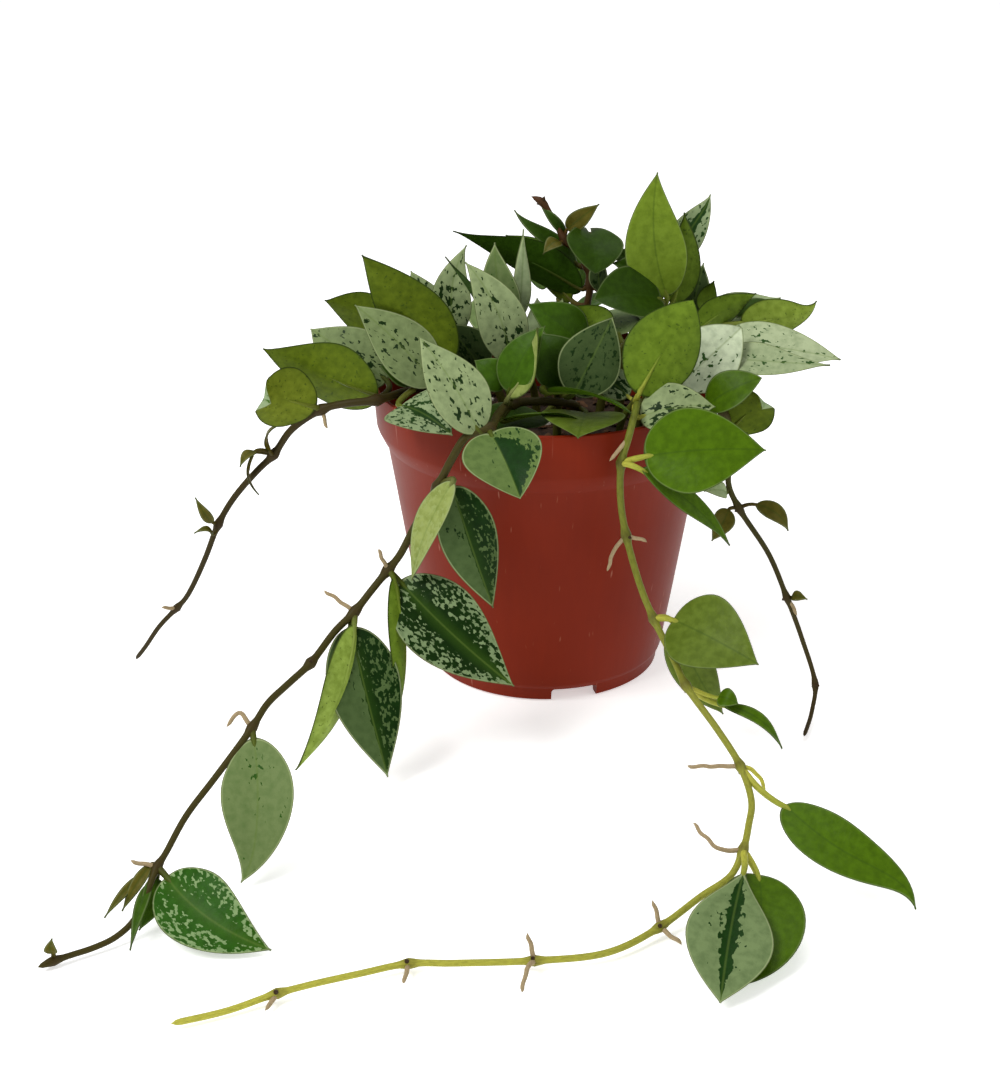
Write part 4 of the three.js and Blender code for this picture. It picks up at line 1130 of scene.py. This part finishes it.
# Crown stem, right: three silver leaves that reach out over the right of the rim.
grow(
    "stem_crown_right",
    radius=(1.7, 1.2),
    foot=(34, -4),
    path=[(37, -10, 106), (43, -20, 113), (51, -17, 120)],
    knots=[3, 4],
    leaves=[
        (3, (46, -33, 118), (67, -22, 134), 23, (-70, 35), "silver_pale", {"drawn": 0.95}),
        (4, (60, -16, 126), (101, -28, 124), 23, (-90, 60), "silver_light", {"sway": 0.5}),
        (4, (60, -23, 123), (96, -37, 125), 16, (-90, 60), "silver_mid",
         {"arch": 1, "sway": 1, "drawn": 1.4}),
    ],
)

# Crown stem, right rear: narrow silver and olive leaves behind the right of the crown.
grow(
    "stem_crown_right_rear",
    radius=(1.7, 1.2),
    foot=(28, 14),
    path=[(34, 13, 108), (46, 9, 120), (58, 2, 127)],
    knots=[3, 4],
    leaves=[
        (3, (55, 8, 127), (85, 11, 135), 15, (-90, 50), "silver_plain", {"sway": 1.5}),
        (3, (52, 11, 127), (57, 14, 147), 12, (-90, 20), "silver_in_deep_shade"),
        (4, (70, -4, 130), (95, -7, 139), 16, (90, 10), "pale_back", {"arch": -1, "sway": -1, "tail": -2}),
        (4, (68, 2, 131), (83, 3, 135), 7, (-90, 60), "dark"),
        (4, (57, 2, 132), (60, 5, 143), 8, (90, 10), "light_back"),
        (4, (54, -6, 128), (74, -5, 141), 13, (90, 15), "light_back"),
    ],
)

# Crown stem, tall: the highest leaves, light-backed ones that stand over round dark ones.
grow(
    "stem_crown_tall",
    bark=("#4a4c1c", "#6a6c28"),
    radius=(1.7, 1.2),
    foot=(20, 4),
    path=[(24, 3, 110), (31, 1, 124), (38, -1, 134), (39, 9, 142)],
    knots=[4, 5],
    leaves=[
        (4, (45, -3, 138), (48, 0, 169), 14, (90, 5), "light_back", {"sway": -2, "drawn": 1.3}),
        (5, (45, 14, 148), (59, 18, 171), 13, (-90, 15), "splash_pale", {"tail": 0.5}),
        (4, (42, -7, 142), (38, -4, 184), 22, (-90, 10), "light_top", {"sway": -3}),
        (4, (39, -11, 141), (16, -22, 144), 23, (-90, 50), "dark", {"drawn": 0.9}),
        (5, (37, 3, 143), (23, -4, 152), 14, (-90, 45), "dark"),
        (5, (35, 11, 146), (22, 8, 152), 9, (-90, 40), "dark"),
    ],
)

# Rear stems: three shoots behind the crown, whose leaves arch back over the rim, so the plant is full all
# round. Left: five leaves, most of them silver.
grow(
    "stem_rear_left",
    radius=(1.7, 1.3),
    foot=(-22, 26),
    path=[(-26, 30, 108), (-33, 36, 115), (-41, 40, 119)],
    knots=[2, 3, 4],
    leaves=[
        (3, (-39, 30, 120), (-75, 44, 123), 24, (150, 65), "silver_dots"),
        (3, (-33, 45, 116), (-38, 84, 107), 26, (95, 60), "green"),
        (4, (-48, 46, 120), (-71, 70, 108), 24, (130, 55), "splash"),
        (2, (-20, 38, 114), (-10, 72, 121), 24, (80, 60), "silver_green"),
        (4, (-43, 42, 124), (-58, 54, 127), 18, (120, 40), "silver_dots"),
    ],
)

# Rear stem, middle: two wide leaves over the rim, and two that stand above it.
grow(
    "stem_rear_middle",
    radius=(1.7, 1.3),
    foot=(2, 34),
    path=[(3, 38, 108), (7, 42, 118), (6, 44, 127)],
    knots=[3, 4],
    leaves=[
        (3, (6, 52, 116), (2, 90, 105), 27, (92, 60), "silver_dots"),
        (3, (14, 46, 119), (43, 62, 123), 22, (50, 62), "green"),
        (4, (2, 50, 130), (-14, 66, 144), 19, (110, 30), "splash"),
        (4, (10, 47, 130), (27, 60, 143), 19, (60, 30), "green"),
    ],
)

# Rear stem, right: four leaves, from plain green to silver.
grow(
    "stem_rear_right",
    radius=(1.7, 1.3),
    foot=(28, 34),
    path=[(31, 36, 108), (39, 38, 114), (49, 36, 119)],
    knots=[2, 3, 4],
    leaves=[
        (3, (43, 46, 114), (58, 80, 104), 25, (65, 60), "green"),
        (4, (56, 38, 119), (88, 52, 110), 24, (25, 60), "silver_dots"),
        (4, (54, 30, 121), (86, 22, 125), 22, (-10, 65), "splash_pale"),
        (2, (29, 44, 111), (27, 80, 109), 24, (90, 62), "silver_green"),
    ],
)

# The blade was only the pattern that the leaves were copied from.
bpy.data.objects.remove(blade)


# Room: a plain pale floor, a large soft light from the upper left, a weak one from the right and an even sky.
FLOOR_SIZE = 30.0
FLOOR_DROP = 0.0003
LIGHTS = [
    ("key", (-1.0, -0.8, 1.5), 0.8, 23.0),
    ("fill", (1.3, -0.7, 0.9), 1.0, 4.5),
    ("top", (0.0, 0.3, 1.7), 1.0, 8.0),
]
LIGHT_AIM = (0, -0.05, 0.06)
SKY_STRENGTH = 0.38
FLOOR_GLOW = 0.5


def floor_paint():
    """White matt acrylic that glows a little, as a light table does."""
    material, shader = new_material("floor_paint", 0.7)
    shader.inputs["Base Color"].default_value = paint("#fbfbfa")
    shader.inputs["Emission Color"].default_value = paint("#ffffff")
    shader.inputs["Emission Strength"].default_value = FLOOR_GLOW
    return material


bpy.ops.mesh.primitive_plane_add(size=FLOOR_SIZE, location=(pot_axis.x, pot_axis.y, -FLOOR_DROP))
floor = bpy.context.object
floor.name = "floor"
floor.data.materials.append(floor_paint())
for name, place, size, power in LIGHTS:
    place = pot_axis + Vector(place)
    aim = (pot_axis + Vector(LIGHT_AIM) - place).to_track_quat("-Z", "Y")
    bpy.ops.object.light_add(type="AREA", location=place, rotation=aim.to_euler())
    light = bpy.context.object
    light.name = name
    light.data.size = size
    light.data.energy = power
world = bpy.data.worlds.new("sky")
world.use_nodes = True
world.node_tree.nodes["Background"].inputs["Color"].default_value = (1, 1, 1, 1)
world.node_tree.nodes["Background"].inputs["Strength"].default_value = SKY_STRENGTH
bpy.context.scene.world = world
